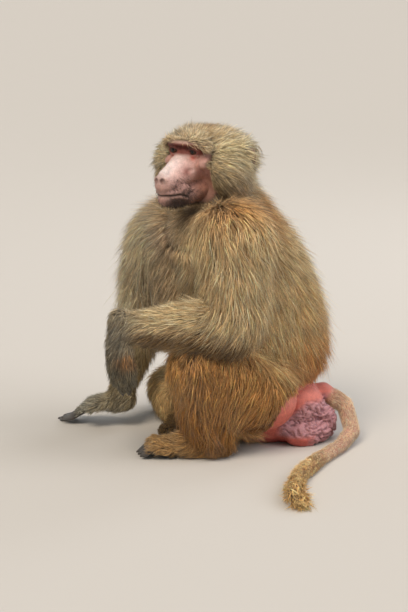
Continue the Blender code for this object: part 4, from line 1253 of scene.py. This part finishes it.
def growCoat(surface, name, names, count, chosen, seed):
    rng = np.random.default_rng(seed)
    mine = np.isin(surface.zones, [zoneIndex[zone] for zone in names]) & chosen(surface.middles)
    lengths = np.array([sum(coat[zone][0]) / 2 for zone in zoneNames])[surface.zones]
    crowd = np.clip(0.045 / lengths, 0.8, 2.6)  # short hair stands closer
    roots, normals = scatter(surface, surface.areas * mine * surface.share * crowd, count, rng)
    weights, along, depths, _ = readZones(roots)
    zones = weights.argmax(axis=1)
    _, reach = hairGrowth(roots, normals)
    length = blended(weights, 0, along) * reach * rng.uniform(*fur["lengthRange"], count)
    depth = (weights * depths).sum(axis=1) * (0.10 + 0.90 * reach) * rng.uniform(*fur["depthRange"], count)
    depth *= 1 + fur["hang"] * ramp(-normals[:, 2], 0.1, 0.9)
    width = blended(weights, 3) * rng.uniform(*fur["widthRange"], count) * (0.6 + 0.4 * reach)
    astray = rng.random(count) < fur["strayShare"]
    depth[astray] *= 1.35
    width[astray] *= 0.7
    depth = np.minimum(depth, length * 0.86)

    # walk down the lie, keeping to the skin
    place, normal = roots, normals
    spine, out = [roots - normals * fur["sink"]], [normals]
    for step in (fur["bend"], 1 - fur["bend"]):
        _, _, _, lies = readZones(place)
        flow = unit((weights[:, :, None] * lies).sum(axis=1))
        flow += sum(waves(roots, size) * strength for size, strength in fur["waves"])
        flow = unit(flow - normal * (flow * normal).sum(axis=1)[:, None])
        place, found = surface.nearest(place + flow * (length * step)[:, None])
        normal = unit(normal * 0.55 + found * 0.45)
        spine.append(place + normal * (depth * (fur["bend"] ** 0.72 if step == fur["bend"] else 1.0))[:, None])
        out.append(normal)
    spine = np.stack(spine, axis=1)

    # tips draw together into strands, and stray a little
    leaders = np.arange(0, count, fur["hairsToStrand"])
    tree = KDTree(len(leaders))
    for i, leader in enumerate(leaders):
        tree.insert(roots[leader], i)
    tree.balance()
    guide = leaders[np.array([tree.find(root)[1] for root in roots.tolist()])]
    near = np.linalg.norm(roots - roots[guide], axis=1) < fur["strandRadius"]
    pull = blended(weights, 2) * near * rng.uniform(0.4, 1.5, count)
    for step, share in ((1, 0.35), (2, 1.0)):
        spine[:, step] += (spine[guide, step] - spine[:, step]) * (pull * share)[:, None]
    stray = rng.normal(0, 1, (count, 3)) * (length * fur["straySize"])[:, None]
    spine[:, 1] += stray * 0.3
    spine[:, 2] += stray
    spine[:, 1:, 2] = np.maximum(spine[:, 1:, 2], fur["tipFloorGap"])

    dull, bright = coatColours(roots, normals, weights)
    shade = np.clip(np.exp(rng.normal(0, fur["shadeSpread"], count)), 0.42, 2.0)[:, None]
    warm = 1 + rng.normal(0, fur["warmSpread"], count)[:, None] * np.array([1.0, 0.1, -1.2])
    ticked = (rng.random(count) < blended(weights, 4))[:, None]
    dullShare, brightShare = fur["middleShades"]
    # roots darkest, as painted shade deep in the coat
    tone = [dull * fur["rootShade"], dull * dullShare + bright * brightShare,
            bright * np.where(ticked, *fur["tipShades"])]
    return tuftPiece(name, spine, out[1], width, [step * shade * warm for step in tone],
                     unwrap(roots, zones, along, names))


# short dark bristles on the lips, the chin and the muzzle's sides, and lashes over the eyes
whiskers = {
    # place in the head's own directions, radius, number, length
    "spots": [
        ((0.084, 0.022, -0.036), 0.014, 260, 0.0055),
        ((0.066, 0.028, -0.044), 0.012, 160, 0.0060),
        ((0.088, 0.012, -0.064), 0.014, 300, 0.0070),
        ((0.070, 0.020, -0.068), 0.012, 200, 0.0070),
        ((0.050, 0.034, -0.045), 0.014, 120, 0.0055),
        ((0.057, 0.021, 0.0195), 0.0042, 60, 0.0040),
    ],
    "width": 0.0005,
    "colour": "#32231a",
}


def growWhiskers(surface):
    rng = np.random.default_rng(9)
    ahead, left, up = headSpace(surface.middles)
    roots, normals, lengths = [], [], []
    for (spotAhead, spotLeft, spotUp), radius, count, length in whiskers["spots"]:
        for side in (-1, 1):
            gap = (ahead - spotAhead) ** 2 + (left - side * spotLeft) ** 2 + (up - spotUp) ** 2
            odds = surface.areas * np.exp(-gap / radius**2) * (gap < radius**2 * 4)
            found, facing = scatter(surface, odds, count, rng)
            roots.append(found)
            normals.append(facing)
            lengths.append(np.full(count, length))
    roots, normals, lengths = np.concatenate(roots), np.concatenate(normals), np.concatenate(lengths)
    count = len(roots)
    lengths *= rng.uniform(0.5, 1.2, count)
    forward, _, upWay = (array(axis) for axis in headAxes())
    way = unit(normals * 0.55 - upWay * 0.7 - forward * 0.15 + rng.normal(0, 0.2, (count, 3)))
    spine = np.stack([roots - normals * 0.0006, roots + way * (lengths * 0.45)[:, None] + normals * 0.0005,
                      roots + way * lengths[:, None]], axis=1)
    tone = np.tile(rgb(whiskers["colour"]), (count, 1)) * rng.uniform(0.6, 1.8, count)[:, None]
    _, along, _, _ = readZones(roots)
    zones = np.full(count, zoneIndex["head"])
    width = np.full(count, whiskers["width"])
    return tuftPiece("whiskers", spine, normals, width, [tone, tone, tone], unwrap(roots, zones, along, ("head",)))


# dry, slightly greasy guard hair: no gloss to speak of, and a paler sheen where light grazes it
def coatMaterial():
    material, tree, shader = newMaterial("dryGuardHair", 0.66, 0.28)
    place = objectPlace(tree)
    colour = addNode(tree, "ShaderNodeVertexColor", layer_name="coatColour").outputs["Color"]
    _, drift = addNoise(tree, place, 38.0, 3.0, (0.3, 0.7), (0.84, 1.16))
    tinted = addNode(tree, "ShaderNodeVectorMath", {0: colour, 1: drift}, operation="MULTIPLY")
    tree.links.new(tinted.outputs[0], shader.inputs["Base Color"])
    shader.inputs["Sheen Weight"].default_value = 0.15
    shader.inputs["Sheen Roughness"].default_value = 0.5
    return material


def everywhere(places):
    return np.ones(len(places), dtype=bool)


choices = {
    "ruffCoat": lambda p: headSpace(p)[0] > -0.012,
    "napeCoat": lambda p: headSpace(p)[0] <= -0.012,
    "mantleFrontCoat": lambda p: (p[:, 2] > 0.215) & (p[:, 1] < -0.085),
    "mantleBackCoat": lambda p: (p[:, 2] > 0.215) & (p[:, 1] >= -0.085),
    "flankCoat": lambda p: p[:, 2] <= 0.215,
}


def makeCoat():
    surface = SkinSurface(skin)
    print("skin surface read")
    material = coatMaterial()
    for i, (name, names, count) in enumerate(fur["pieces"]):
        count = count
        made = growCoat(surface, name, names, count, choices.get(name, everywhere), 20 + i)
        made.data.materials.append(material)
        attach(made, "root")
        print(name, len(made.data.polygons))
    made = growWhiskers(surface)
    made.data.materials.append(material)
    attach(made, "root")


makeCoat()

# eyes and nails

eyes = {
    "gazeTurn": 46,  # degrees to the left of straight ahead
    "iris": 0.0056,
    "pupil": 0.0027,
    "white": "#1c110b",
    "irisColour": "#4a2a12",
    "irisDark": "#28160a",
    "pupilColour": "#040302",
}


# a wet eyeball: dark brown iris round a black pupil, and brown where other eyes are white
def eyeMaterial(name, centre, gaze):
    material, tree, shader = newMaterial(name, 0.07, 0.35)
    place = objectPlace(tree)
    offset = addNode(tree, "ShaderNodeVectorMath", {0: place, 1: centre}, operation="SUBTRACT")
    crossed = addNode(tree, "ShaderNodeVectorMath", {0: offset.outputs[0], 1: gaze}, operation="CROSS_PRODUCT")
    gap = addNode(tree, "ShaderNodeVectorMath", {0: crossed.outputs[0]}, operation="LENGTH").outputs["Value"]
    ring, hole = (
        addNode(tree, "ShaderNodeMapRange",
                {"Value": gap, "From Min": eyes[part] * low, "From Max": eyes[part] * high})
        for part, low, high in (("iris", 0.92, 1.06), ("pupil", 0.9, 1.1))
    )
    fleck = addNode(tree, "ShaderNodeTexNoise", {"Vector": place, "Scale": 2600.0, "Detail": 2.0})
    iris = mixNode(tree, fleck.outputs["Fac"], linear(eyes["irisDark"]), linear(eyes["irisColour"]))
    inner = mixNode(tree, hole.outputs["Result"], linear(eyes["pupilColour"]), iris)
    outer = mixNode(tree, ring.outputs["Result"], inner, linear(eyes["white"]))
    tree.links.new(outer, shader.inputs["Base Color"])
    return material


def makeEyes():
    turn = math.radians(eyes["gazeTurn"])
    gaze = Vector((math.sin(turn), -math.cos(turn), -0.02)).normalized()
    for side, node in ((1, "eye_left"), (-1, "eye_right")):
        centre = headPoint(*eyePlace(side))
        bpy.ops.object.select_all(action="DESELECT")
        bpy.ops.mesh.primitive_uv_sphere_add(segments=40, ring_count=26, radius=head["eyeRadius"], location=centre,
                                             rotation=gaze.to_track_quat("Z", "Y").to_euler())
        made = bpy.context.object
        made.name = "eyeball" + ("Left" if side > 0 else "Right")
        applyTransforms()
        places = readPlaces(made)
        offset = places - array(centre)
        toward = offset @ array(gaze) / head["eyeRadius"]
        places += array(gaze) * (ramp(toward, 0.82, 1.0) * 0.0006)[:, None]  # bulge of the cornea
        writePlaces(made, places)
        made.data.shade_smooth()
        made.data.materials.append(eyeMaterial("wetEye" + ("Left" if side > 0 else "Right"), centre, gaze))
        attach(made, "root")
        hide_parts(node)


nailLooks = {
    "dark": "#2b2621",
    "pale": "#57504a",
    "floorGap": 0.0006,
}


# horn, dark and worn a little glossy
def nailMaterial():
    material, tree, shader = newMaterial("wornHorn", 0.34, 0.5)
    place = objectPlace(tree)
    grain = addNode(tree, "ShaderNodeTexNoise", {"Vector": place, "Scale": 700.0, "Detail": 3.0})
    tone = mixNode(tree, grain.outputs["Fac"], linear(nailLooks["dark"]), linear(nailLooks["pale"]))
    tree.links.new(tone, shader.inputs["Base Color"])
    return material


def makeNails():
    made = []
    for tip, way, back, radius in nailPlaces:
        back = (back - way * back.dot(way)).normalized()
        side = way.cross(back)
        centre = tip + way * radius * 0.55 + back * radius * 0.42
        made.append(ball(centre, (radius * 0.62, radius * 1.05, radius * 0.42), (side, way, back), 16))
    nails = joinPieces(made)
    applyTransforms()
    nails.name = "nails"
    places = readPlaces(nails)
    places[:, 2] = np.maximum(places[:, 2], nailLooks["floorGap"])
    writePlaces(nails, places)
    nails.data.shade_smooth()
    nails.data.materials.append(nailMaterial())
    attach(nails, "root")


makeEyes()
makeNails()
print("eyes and nails")
